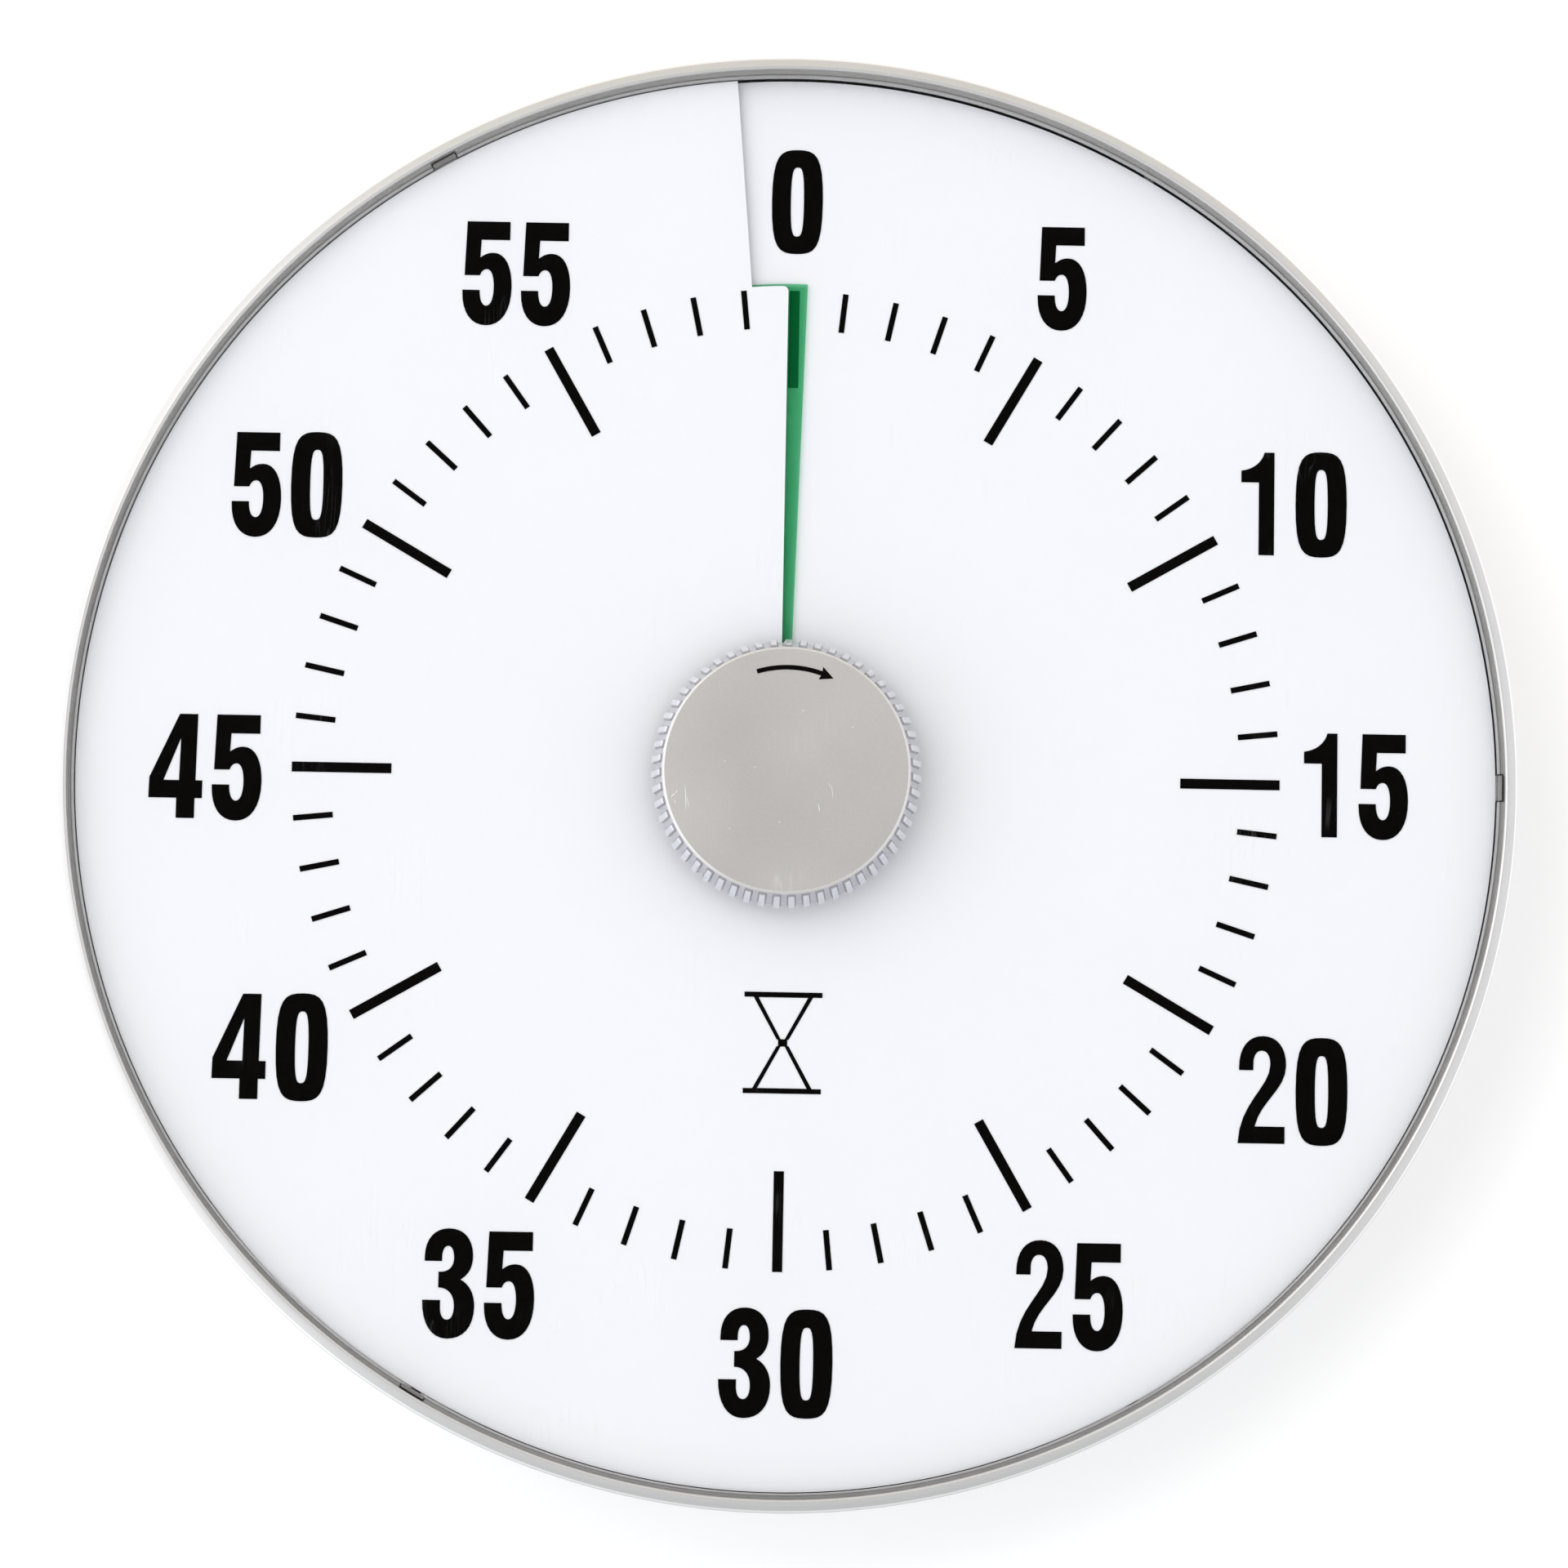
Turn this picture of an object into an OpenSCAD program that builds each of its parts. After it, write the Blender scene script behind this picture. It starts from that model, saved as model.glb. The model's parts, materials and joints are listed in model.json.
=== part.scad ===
// Wall-hung 60 minute visual countdown timer for the laboratory.
// Modelled in a face frame: x to the right, y up, z out of the wall, origin on the knob's
// axis at the flat back. face_out() then stands it up: the dial looks along -Y, 0 is at +Z.

/* [Case] */
// Outer diameter of the round case
case_d = 320; // [316:1:324]
// Width of the silver bezel, seen from the front
bezel_w = 3.0; // [2.6:0.1:3.4]
// Depth of the case from the wall to the front of the bezel
case_depth = 32.4; // [32.2:0.1:33]
// Width of the narrow ledge that carries the lens
ledge_w = 1.3; // [1.1:0.1:1.5]

/* [Dial] */
// Thickness of the dial sheet
sheet_t = 0.6; // [0.5:0.05:0.7]
// Rise of the spiral dial over one full turn
pitch = 2.0; // [2:0.05:2.2]
// Radius of the short arc slit that the foil's rim shows through
slit_r = 108.9; // [107:0.1:110]
// Angle of the outer slit, before the zero mark
slit_angle = 5; // [4:0.5:5.5]
// Distance of the straight inner slit from the zero radius
slit_offset = 1.43; // [1.3:0.01:1.8]
// Thickness of the printed marks
ink_t = 0.1; // [0.08:0.01:0.15]

/* [Foil] */
// Thickness of the green disc
foil_t = 0.3; // [0.2:0.05:0.4]
// How far the disc's rim reaches past the arc slit
foil_lip = 0.7; // [0.4:0.1:1]
// Angle of the disc's front edge after the zero mark, at rest
foil_lead = 1.5; // [1.2:0.1:2]

/* [Knob] */
// Outer diameter over the ribs, at the base
knob_d = 59.0; // [57:0.1:60]
// Height of the knob
knob_h = 7.6; // [7:0.1:9]
// Number of grip ribs round the knob
rib_count = 55; // [48:1:62]

/* [Battery] */
// Diameter of the AA cell
cell_d = 14.2; // [14:0.1:14.5]

/* [Hidden] */
$fn = 96;

// Case and lens
case_r = case_d / 2;
bezel_r = case_r - bezel_w;
ledge_r = bezel_r - ledge_w;
bezel_drop = 1.6;            // the bezel's outer edge lies this far behind its inner edge
wall_r = case_r - 2.8;       // inner face of the case wall
rear_z = 0.4;                // rear rim of the case
lens_t = 1.6;
lens_z = 30.0;               // back face of the lens
ledge_z = lens_z - 0.1;
ledge_t = 2.5;
hook_angles = [-30, 90, 210];
hook_w = 5.6;

// Back cover
cover_r = wall_r - 0.5;
cover_t = 2.4;
boss_angles = [for (k = [0:5]) 30 + 60 * k];
boss_ring = case_r - 12;
boss_r = 4.5;
boss_top = 21.9;
screw_hole = 1.5;
magnet_angles = [45, 135, 225, 315];
magnet_ring = 118;
magnet_r = 7.5;
hanger_y = 126;
hanger_r = 4.5;
hanger_slot = 4.4;
hanger_rise = 9;

// Battery bay, with the hinge line of its door along the lower edge
cell_r = cell_d / 2;
cell_y = -72;
cell_z = 3.0 + 7.4;
bay_x = [-29.5, 26.7];
bay_y = [cell_y - 7.8, cell_y + 7.8];
bay_top = 18.0;
bay_wall = 1.5;
hinge_y = -82.6;
hinge_z = 1.2;
hinge_r = 1.0;
hinge_pin_r = 0.8;
hinge_hole_r = 0.86;
door_top_y = -62.5;
door_gap = 0.3;
door_x = [-30.9, 28.1];
lead_x = [-28.2, 26.05];     // where the leads leave the bay, at the two contacts
tab_y = 6.2;                 // upper end of the contacts, from the cell's axis

// Sound switch and buzzer, left of the movement as seen from the front
switch_at = [-62, 36];
switch_travel = 4;
nub = [3.2, 2.6];
buzzer_at = [-66, 0];

// Dial: a spiral sheet, so that the foil can pass from under it to over it
dial_low = 26;               // middle of the sheet at the zero mark, low side
dial_r = ledge_r - 0.5;
dial_hole = 20;
foil_r = slit_r + foil_lip;
foil_in = 18;
foil_lift = 1.0;             // the foil's middle above the sheet's middle
step = 3;                    // angle between the columns of a spiral sheet
plate_z = 22;
plate_t = 2.4;
rib_in = slit_r + 4.6;
function rise(a) = pitch * a / 360;
function dial_z(a) = dial_low + rise(a);
function dial_face(a) = dial_z(a) + sheet_t / 2;

// Marks
tick_out = 108.2;
tick_w = 1.25;
tick_len = 8.7;
five_w = 2.2;
five_len = 21.8;
ink_gap = 0.02;

// Knob and arbor
knob_r = knob_d / 2;
knob_z = 32.0;
knob_top = knob_z + knob_h;
rib_h = 0.45;
rib_w = 1.5;
rib_top = knob_top - 1.2;
knob_core = knob_r - rib_h;  // between the ribs, at the base
knob_neck = knob_core - 1.8; // the same at the top
cap_r = knob_neck - 0.35;
cap_t = 1.0;                 // the cap's rim, which lies on the body
cap_seat = knob_top - 2.3;
plug_r = cap_r - 2.5;
arbor_r = 4;
arbor_square = 8;
arbor_bore = 4.06;
seat_r = 3.5;

// Movement: wheel centres, tooth counts and modules of the quartz train
case_x = 29;
case_y = [-30, 28];
shell_t = 1.2;
mv_back = 6;
mv_split = 13.4;
mv_front = 21;
friction_teeth = 60;
pinion_a_teeth = 10;
wheel_a_teeth = 80;
pinion_b_teeth = 12;
wheel_b_teeth = 60;
pinion_c_teeth = 10;
wheel_c_teeth = 60;
rotor_teeth = 8;
mod_slow = 0.5;
mod_fast = 0.3;
dir_a = 225;
dir_b = -20;
dir_c = 0;
dir_rotor = 60;
function centres(n1, n2, m) = m * (n1 + n2) / 2;
function beside(p, dir, d) = [p[0] + d * cos(dir), p[1] + d * sin(dir)];
at_a = beside([0, 0], dir_a, centres(friction_teeth, pinion_a_teeth, mod_slow));
at_b = beside(at_a, dir_b, centres(wheel_a_teeth, pinion_b_teeth, mod_fast));
at_c = beside(at_b, dir_c, centres(wheel_b_teeth, pinion_c_teeth, mod_fast));
at_rotor = beside(at_c, dir_rotor, centres(wheel_c_teeth, rotor_teeth, mod_fast));
pin_r = 0.8;
pin_bore = 0.86;
corner_screws = [for (x = [-25.4, 25.4]) for (y = [-26.4, 24.4]) [x, y]];

// Colours
silver = [0.78, 0.77, 0.76];
white = [0.97, 0.98, 0.99];
black = [0.03, 0.03, 0.03];
green = [0.10, 0.62, 0.36, 0.8];
clear = [0.9, 0.95, 0.97, 0.25];
steel = [0.70, 0.71, 0.73];
brass = [0.80, 0.66, 0.32];
grey = [0.45, 0.46, 0.48];

// ---- Helpers ----

// Stands the face frame up against the wall
module face_out() {
    rotate([90, 0, 0])
        children();
}

// Places children at a clockwise dial angle, with y pointing outwards
module at_angle(a) {
    rotate([0, 0, -a])
        children();
}

module disc(r, z0, z1) {
    translate([0, 0, z0])
        cylinder(r = r, h = z1 - z0);
}

module washer(r_out, r_in, z0, z1) {
    difference() {
        disc(r_out, z0, z1);
        disc(r_in, z0 - 1, z1 + 1);
    }
}

module block(x, y, z) {
    translate([x[0], y[0], z[0]])
        cube([x[1] - x[0], y[1] - y[0], z[1] - z[0]]);
}

// A cylinder along x
module rod_x(r, x0, x1) {
    translate([x0, 0, 0])
        rotate([0, 90, 0])
            cylinder(r = r, h = x1 - x0);
}

function polar(r, a, z) = [r * sin(a), r * cos(a), z];
function unit(v) = v / norm(v);
function last(v) = len(v) - 1;

// Tangent of a polyline at point i
function tangent(p, i) = unit(p[min(i + 1, last(p))] - p[max(i - 1, 0)]);

function ring_points(p, t, up, r, sides) =
    let (s = unit(cross(t, up)), u = cross(s, t))
    [for (k = [0:sides - 1]) p + r * (cos(360 * k / sides) * s + sin(360 * k / sides) * u)];

// Sweeps a round wire along a polyline
module wire(path, r, up, sides = 8) {
    n = len(path);
    points = [for (i = [0:n - 1]) each ring_points(path[i], tangent(path, i), up, r, sides)];
    sides_faces = [
        for (i = [0:n - 2]) for (k = [0:sides - 1])
            let (j = (k + 1) % sides)
            [i * sides + k, i * sides + j, (i + 1) * sides + j, (i + 1) * sides + k]
    ];
    start = [for (k = [sides - 1:-1:0]) k];
    end = [for (k = [0:sides - 1]) (n - 1) * sides + k];
    polyhedron(points, concat([start], sides_faces, [end]), convexity = 10);
}

// Rounds the corners of a hand-picked route with a few points each
function bend(route, r) = concat(
    [route[0]],
    [for (i = [1:last(route) - 1])
        let (a = route[i] + r * unit(route[i - 1] - route[i]),
             b = route[i] + r * unit(route[i + 1] - route[i]))
        each [for (s = [0:0.25:1]) (1 - s) * (1 - s) * a + 2 * s * (1 - s) * route[i] + s * s * b]],
    [route[last(route)]]
);

// ---- Spiral sheets ----

// A spiral sheet from columns of angles and rings of radii. angle(c, r) is the angle of column c
// at radius r, filled(c, k) says whether the cell after column c and ring k is there.
module spiral_sheet(columns, radii, z0, t, angle, filled) {
    nr = len(radii);
    nc = columns;
    count = nc * nr;
    function at(c, k, top) = (top ? count : 0) + c * nr + k;
    function on(c, k) = c >= 0 && c < nc - 1 && k >= 0 && k < nr - 1 && filled(c, k);
    points = [
        for (side = [-1, 1]) for (c = [0:nc - 1]) for (r = radii)
            let (a = angle(c, r)) polar(r, a, z0 + rise(a) + side * t / 2)
    ];
    skins = [
        for (c = [0:nc - 2]) for (k = [0:nr - 2]) if (on(c, k)) each [
            [at(c, k, true), at(c, k + 1, true), at(c + 1, k + 1, true), at(c + 1, k, true)],
            [at(c, k, false), at(c + 1, k, false), at(c + 1, k + 1, false), at(c, k + 1, false)]
        ]
    ];
    edges = [
        for (c = [0:nc - 2]) for (k = [0:nr - 2]) if (on(c, k)) each concat(
            on(c - 1, k) ? [] :
                [[at(c, k, false), at(c, k + 1, false), at(c, k + 1, true), at(c, k, true)]],
            on(c + 1, k) ? [] :
                [[at(c + 1, k + 1, false), at(c + 1, k, false), at(c + 1, k, true),
                  at(c + 1, k + 1, true)]],
            on(c, k - 1) ? [] :
                [[at(c + 1, k, false), at(c, k, false), at(c, k, true), at(c + 1, k, true)]],
            on(c, k + 1) ? [] :
                [[at(c, k + 1, false), at(c + 1, k + 1, false), at(c + 1, k + 1, true),
                  at(c, k + 1, true)]]
        )
    ];
    polyhedron(points, concat(skins, edges), convexity = 20);
}

// ---- Printed shapes ----

// One Bezier stretch, without its last point
function curve(a, b, c, d, n = 8) = [
    for (i = [0:n - 1]) let (s = i / n, q = 1 - s)
        q * q * q * a + 3 * q * q * s * b + 3 * q * s * s * c + s * s * s * d
];

// A rounded quarter turn from a to b whose tangents meet at corner, without its last point.
// k is how far each handle reaches towards the corner.
function quarter(a, corner, b, k = [0.62, 0.62]) =
    curve(a, a + k[0] * (corner - a), b + k[1] * (corner - b), b);

// An upright oval about [x, y]: side and cap say how full its flanks and its ends are
function oval(x, y, w, h, side, cap) = concat(
    quarter([x + w, y], [x + w, y + h], [x, y + h], [side, cap]),
    quarter([x, y + h], [x - w, y + h], [x - w, y], [cap, side]),
    quarter([x - w, y], [x - w, y - h], [x, y - h], [side, cap]),
    quarter([x, y - h], [x + w, y - h], [x + w, y], [cap, side])
);

digit_widths = [11.3, 7.3, 10.45, 11.3, 11.7, 10.85];

module digit_0() {
    difference() {
        polygon(oval(5.65, 11.45, 5.65, 11.75, 0.92, 0.7));
        polygon(oval(5.65, 11.45, 1.45, 7.8, 0.95, 0.62));
    }
}

module digit_1() {
    polygon(concat(
        [[7.3, 0], [7.3, 22.9]],
        quarter([5.1, 22.9], [4.2, 19.3], [0, 18.8]),
        [[0, 18.8], [0, 16.2], [3.9, 16.2], [3.9, 0]]
    ));
}

module digit_2() {
    polygon(concat(
        [[3.3, 15.9], [0.2, 15.9]],
        quarter([0.2, 16.6], [0.2, 23.4], [5.4, 23.4]),
        quarter([5.4, 23.4], [10.45, 23.4], [10.45, 17.0]),
        curve([10.45, 17.0], [10.45, 11.8], [4.9, 9.2], [3.7, 3.7]),
        [[3.7, 3.7], [10.2, 3.7], [10.2, 0], [0, 0]],
        curve([0, 0], [0.3, 8.9], [7.0, 12.2], [7.0, 17.2]),
        quarter([7.0, 17.2], [7.0, 20.2], [5.15, 20.2]),
        quarter([5.15, 20.2], [3.3, 20.2], [3.3, 17.2])
    ));
}

module digit_3() {
    polygon(concat(
        [[4.1, 16.3], [0.35, 16.3]],
        quarter([0.35, 17.2], [0.35, 23.4], [5.6, 23.4]),
        quarter([5.6, 23.4], [10.8, 23.4], [10.8, 17.4]),
        curve([10.8, 17.4], [10.8, 15], [9.9, 13.4], [8.2, 12.4]),
        curve([8.2, 12.4], [10.2, 11.4], [11.3, 9.2], [11.3, 6.6]),
        quarter([11.3, 6.6], [11.3, -0.4], [5.5, -0.4]),
        quarter([5.5, -0.4], [0, -0.4], [0, 7.9]),
        [[0, 7.9], [3.9, 7.9]],
        quarter([3.9, 6.4], [3.9, 3.7], [5.4, 3.7]),
        quarter([5.4, 3.7], [6.9, 3.7], [6.9, 6.6]),
        quarter([6.9, 6.6], [6.9, 10.6], [3.4, 10.6]),
        [[3.4, 10.6], [3.4, 14.0]],
        quarter([3.8, 14.0], [6.7, 14.0], [6.7, 17.0]),
        quarter([6.7, 17.0], [6.7, 19.6], [5.4, 19.6]),
        quarter([5.4, 19.6], [4.1, 19.6], [4.1, 17.0])
    ));
}

module digit_4() {
    difference() {
        polygon([
            [6.4, 22.9], [10.4, 22.9], [10.2, 8.3], [11.7, 8.3], [11.7, 4.4], [10.1, 4.4],
            [10.1, 0], [6.1, 0], [6.1, 4.4], [0, 4.4], [0.1, 8.9]
        ]);
        polygon([[6.8, 17.6], [6.6, 8.3], [3.2, 8.3]]);
    }
}

module digit_5() {
    polygon(concat(
        [[0.8, 22.9], [0.4, 10.8], [3.8, 10.8]],
        quarter([3.8, 10.8], [4.2, 12.2], [5.3, 12.2]),
        quarter([5.3, 12.2], [6.9, 12.2], [6.9, 8.2]),
        quarter([6.9, 8.2], [6.9, 4.0], [5.3, 4.0]),
        quarter([5.3, 4.0], [3.8, 4.0], [3.8, 7.5]),
        [[3.8, 7.5], [0, 7.5]],
        quarter([0, 7.0], [0, -0.4], [5.3, -0.4]),
        quarter([5.3, -0.4], [10.85, -0.4], [10.85, 8.2]),
        quarter([10.85, 8.2], [10.85, 15.9], [6.7, 15.9]),
        curve([6.7, 15.9], [5.4, 15.9], [4.6, 15.4], [3.8, 14.8]),
        [[3.8, 14.8], [4.0, 18.8], [10.3, 18.8], [10.3, 22.9]]
    ));
}

module digit(d) {
    if (d == 0) digit_0();
    if (d == 1) digit_1();
    if (d == 2) digit_2();
    if (d == 3) digit_3();
    if (d == 4) digit_4();
    if (d == 5) digit_5();
}

// Gap after a digit: the slim 1 stands further from its neighbour
function gap_after(d) = d == 1 ? 4.7 : 2.1;
function number_width(ds) = len(ds) == 1 ? digit_widths[ds[0]]
    : digit_widths[ds[0]] + gap_after(ds[0]) + digit_widths[ds[1]];

// Minute numbers and the middles they stand on, clockwise from the top
numbers = [
    [[0], [0.2, 128.25]], [[5], [59.2, 112.2]], [[1, 0], [110.9, 62.4]], [[1, 5], [124.95, 0.2]],
    [[2, 0], [111.55, -67]], [[2, 5], [63.35, -112.2]], [[3, 0], [0, -127.9]],
    [[3, 5], [-64.6, -112]], [[4, 0], [-111.2, -61.4]], [[4, 5], [-127.05, -0.3]],
    [[5, 0], [-110.95, 62.45]], [[5, 5], [-61.6, 110.65]]
];
function clock_angle(p) = (atan2(p[0], p[1]) + 360) % 360;

// ---- Case ----

module front_case_profile() {
    polygon([
        [wall_r, rear_z], [case_r - 1.6, rear_z], [case_r - 0.8, rear_z + 0.5],
        [case_r - 0.4, rear_z + 2], [case_r, case_depth - bezel_drop - 1.2],
        [case_r - 0.15, case_depth - bezel_drop - 0.3], [case_r - 0.6, case_depth - bezel_drop + 0.3],
        [case_r - 1.5, case_depth - 0.45], [bezel_r + 0.5, case_depth], [bezel_r, case_depth - 0.3],
        [bezel_r, ledge_z], [ledge_r, ledge_z], [ledge_r, ledge_z - ledge_t + 0.8],
        [wall_r, ledge_z - ledge_t - 0.6]
    ]);
}

module front_case() {
    color(silver) face_out() difference() {
        union() {
            rotate_extrude($fn = 240)
                front_case_profile();
            for (a = boss_angles) at_angle(a) {
                translate([0, boss_ring, cover_t + 0.1])
                    cylinder(r = boss_r, h = boss_top - cover_t - 0.1);
                block([-1.2, 1.2], [boss_ring, wall_r + 0.6], [cover_t + 0.1, boss_top]);
            }
        }
        for (a = boss_angles) at_angle(a)
            translate([0, boss_ring, 0])
                cylinder(r = screw_hole, h = boss_top + 1);
        for (a = hook_angles) at_angle(a)
            block([-hook_w / 2 - 0.3, hook_w / 2 + 0.3], [ledge_r - 1, bezel_r - 0.1], [26, ledge_z + 1]);
    }
}

module lens() {
    color(clear) face_out() {
        difference() {
            rotate_extrude($fn = 240) polygon([
                [8, lens_z], [bezel_r - 0.25, lens_z], [bezel_r - 0.25, lens_z + lens_t - 0.3],
                [bezel_r - 0.55, lens_z + lens_t], [8.3, lens_z + lens_t], [8, lens_z + lens_t - 0.3]
            ]);
            for (a = hook_angles) at_angle(a)
                block([-hook_w / 2, hook_w / 2], [bezel_r - 0.75, bezel_r + 1], [lens_z - 1, lens_z + 3]);
        }
        for (a = hook_angles) at_angle(a) {
            block([-hook_w / 2, hook_w / 2], [bezel_r - 1.6, bezel_r - 0.8], [lens_z - 3.6, lens_z]);
            block([-hook_w / 2, hook_w / 2], [bezel_r - 0.8, bezel_r - 0.2], [lens_z - 3.6, lens_z - 2.9]);
        }
    }
}

// ---- Back cover ----

module keyhole() {
    translate([0, hanger_y, -1])
        cylinder(r = hanger_r, h = cover_t + 2);
    block([-hanger_slot / 2, hanger_slot / 2], [hanger_y, hanger_y + hanger_rise], [-1, cover_t + 1]);
    translate([0, hanger_y + hanger_rise, -1])
        cylinder(r = hanger_slot / 2, h = cover_t + 2);
}

module bay_solid() {
    block([bay_x[0] - bay_wall, bay_x[1] + bay_wall], [bay_y[0] - bay_wall, bay_y[1] + bay_wall],
        [cover_t - 0.2, bay_top + bay_wall]);
    block([door_x[0] - 2.3, door_x[1] + 2.3], [hinge_y - 3, door_top_y + 2], [0, cover_t + 1]);
}

module bay_hollow() {
    block(bay_x, bay_y, [cover_t - 1, bay_top]);
    block([door_x[0] - door_gap, door_x[1] + door_gap],
        [hinge_y - hinge_r - door_gap, door_top_y + door_gap], [-1, cover_t]);
    translate([0, hinge_y, hinge_z])
        rod_x(hinge_hole_r, door_x[0] - 2.1, door_x[1] + 2.1);
    translate([(door_x[0] + door_x[1]) / 2, door_top_y + door_gap, -1])
        cylinder(r = 6, h = 2.2);
    for (x = lead_x)
        translate([x, bay_y[1] - 1, cell_z])
            rotate([-90, 0, 0])
                cylinder(r = 1.1, h = 4);
}

module back_cover() {
    color(grey) face_out() difference() {
        union() {
            disc(cover_r, 0, cover_t);
            bay_solid();
            for (a = magnet_angles) at_angle(a)
                translate([0, magnet_ring, 0])
                    cylinder(r = magnet_r + 1.6, h = 4.4);
        }
        keyhole();
        bay_hollow();
        for (a = boss_angles) at_angle(a) translate([0, boss_ring, -1]) {
            cylinder(r = screw_hole + 0.2, h = cover_t + 2);
            cylinder(r = 3.4, h = 2.2);
        }
        for (a = magnet_angles) at_angle(a)
            translate([0, magnet_ring, -1])
                cylinder(r = magnet_r + 0.1, h = 4.0);
        translate([buzzer_at[0], buzzer_at[1], -1]) {
            cylinder(r = 1.4, h = cover_t + 2);
            for (a = [0:60:300]) at_angle(a)
                translate([0, 5, 0])
                    cylinder(r = 1.4, h = cover_t + 2);
        }
        translate([switch_at[0], switch_at[1], 0]) {
            block([-7, 7], [-3.4, 3.4], [-1, 1.2]);
            block([-(switch_travel + nub[0]) / 2 - 0.3, (switch_travel + nub[0]) / 2 + 0.3],
                [-nub[1] / 2 - 0.3, nub[1] / 2 + 0.3], [-1, cover_t + 1]);
        }
    }
}

module battery_door() {
    color(grey) face_out() {
        difference() {
            union() {
                block(door_x, [hinge_y, door_top_y], [hinge_z - hinge_r, hinge_z + hinge_r]);
                translate([0, hinge_y, hinge_z])
                    rod_x(hinge_r, door_x[0], door_x[1]);
            }
            for (k = [0:4])
                block([-9, 6], [door_top_y - 6 + k, door_top_y - 5.5 + k], [0, 0.5]);
        }
        translate([0, hinge_y, hinge_z]) {
            rod_x(hinge_pin_r, door_x[0] - 1.8, door_x[0]);
            rod_x(hinge_pin_r, door_x[1], door_x[1] + 1.8);
        }
    }
}

// ---- Dial ----

module dial_plate() {
    color(white) face_out() {
        difference() {
            union() {
                disc(dial_r, plate_z, plate_z + plate_t);
                for (p = corner_screws)
                    translate([p[0], p[1], mv_front])
                        cylinder(r = 4, h = plate_z - mv_front + 0.5);
                for (a = [7.5:15:352.5]) at_angle(a)
                    block([-0.8, 0.8], [rib_in, dial_r - 0.7],
                        [plate_z + plate_t - 0.3, dial_z(a) - sheet_t / 2 - 0.05]);
            }
            disc(8.3, plate_z - 2, plate_z + plate_t + 1);
            for (p = corner_screws)
                translate([p[0], p[1], mv_front - 1])
                    cylinder(r = 1.15, h = 3.6);
            for (a = boss_angles) at_angle(a) translate([0, boss_ring, plate_z - 1]) {
                cylinder(r = screw_hole + 0.1, h = plate_t + 2);
                translate([0, 0, 2.1])
                    cylinder(r = 3.2, h = 2);
            }
        }
    }
}

// Columns of the dial: the outer slit, the inner slit, every step, then the two slits again
dial_columns = 360 / step + 2;
function dial_column(c, r) =
    c == 0 ? -slit_angle :
    c == 1 ? -asin(slit_offset / r) :
    c == dial_columns - 2 ? 360 - slit_angle :
    c == dial_columns - 1 ? 360 - asin(slit_offset / r) :
    step * (c - 1);
function dial_filled(c, k) = k == 1 ? c < dial_columns - 2 : c > 0;

module dial_sheet() {
    color(white) face_out()
        spiral_sheet(dial_columns, [dial_hole, slit_r, dial_r], dial_low, sheet_t,
            function (c, r) dial_column(c, r), function (c, k) dial_filled(c, k));
}

module scale_ticks() {
    color(black) face_out() for (m = [0:59]) at_angle(6 * m) {
        w = m % 5 == 0 ? five_w : tick_w;
        l = m % 5 == 0 ? five_len : tick_len;
        z = dial_face(6 * m) + ink_gap;
        block([-w / 2, w / 2], [tick_out - l, tick_out], [z, z + ink_t]);
    }
}

// Lays a flat print at p on the spiral sheet and keeps it upright
module on_dial(p) {
    a = clock_angle(p);
    slope = atan(pitch / (2 * PI * norm(p)));
    translate([p[0], p[1], dial_face(a) + ink_gap])
        rotate([0, 0, -a])
            rotate([0, -slope, 0])
                rotate([0, 0, a])
                    linear_extrude(ink_t)
                        children();
}

module scale_numerals() {
    color(black) face_out() for (n = numbers) {
        w = number_width(n[0]);
        on_dial(n[1]) {
            translate([-w / 2, -11.45])
                digit(n[0][0]);
            if (len(n[0]) == 2)
                translate([w / 2 - digit_widths[n[0][1]], -11.45])
                    digit(n[0][1]);
        }
    }
}

// A plain hourglass pictogram in thin line work, where a maker would print a mark
module dial_mark() {
    color(black) face_out() on_dial([0.3, -58.5]) difference() {
        union() {
            square([17, 1.1], center = true);
            for (s = [-1, 1]) {
                translate([-8.5, s * 10.5 - 0.55])
                    square([17, 1.1]);
                polygon([[-6.6, s * 10.2], [6.6, s * 10.2], [0.9, 0], [-0.9, 0]]);
            }
        }
        for (s = [-1, 1])
            polygon([[-5.4, s * 9.9], [5.4, s * 9.9], [0.45, s * 0.8], [-0.45, s * 0.8]]);
        for (s = [-1, 1])
            translate([s * 5 - 4, -0.7])
                square([8, 1.4]);
    }
}

// ---- Foil ----

foil_columns = 360 / step;
function foil_column(c) = foil_lead - step * (foil_columns - 1) + step * c;

module colour_foil() {
    color(green) face_out()
        spiral_sheet(foil_columns, [foil_in, foil_r], dial_low + foil_lift, foil_t,
            function (c, r) foil_column(c), function (c, k) true);
}

hub_z = [24.5, 27.6];

module foil_hub() {
    color(white) face_out() difference() {
        disc(15, hub_z[0], hub_z[1]);
        block([-arbor_square / 2 - 0.2, arbor_square / 2 + 0.2],
            [-arbor_square / 2 - 0.2, arbor_square / 2 + 0.2], [hub_z[0] - 1, hub_z[1] + 1]);
    }
}

module foil_ring() {
    color(grey) face_out()
        washer(foil_in * cos(step / 2) - 0.003, 15, hub_z[0] + 0.1, hub_z[1] - 0.1);
}

// ---- Knob ----

module arbor() {
    color(brass) face_out() difference() {
        union() {
            disc(1.5, mv_back + shell_t, 13);
            disc(arbor_r, 12.6, 24.2);
            block([-arbor_square / 2, arbor_square / 2], [-arbor_square / 2, arbor_square / 2],
                [24.1, knob_z + 0.2]);
            difference() {
                disc(seat_r, knob_z, cap_seat - 1.2);
                block([-seat_r, seat_r], [seat_r - 0.8, seat_r], [knob_z + 0.2, knob_top]);
            }
        }
        disc(1.25, knob_z - 6, knob_top);
    }
}

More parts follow.
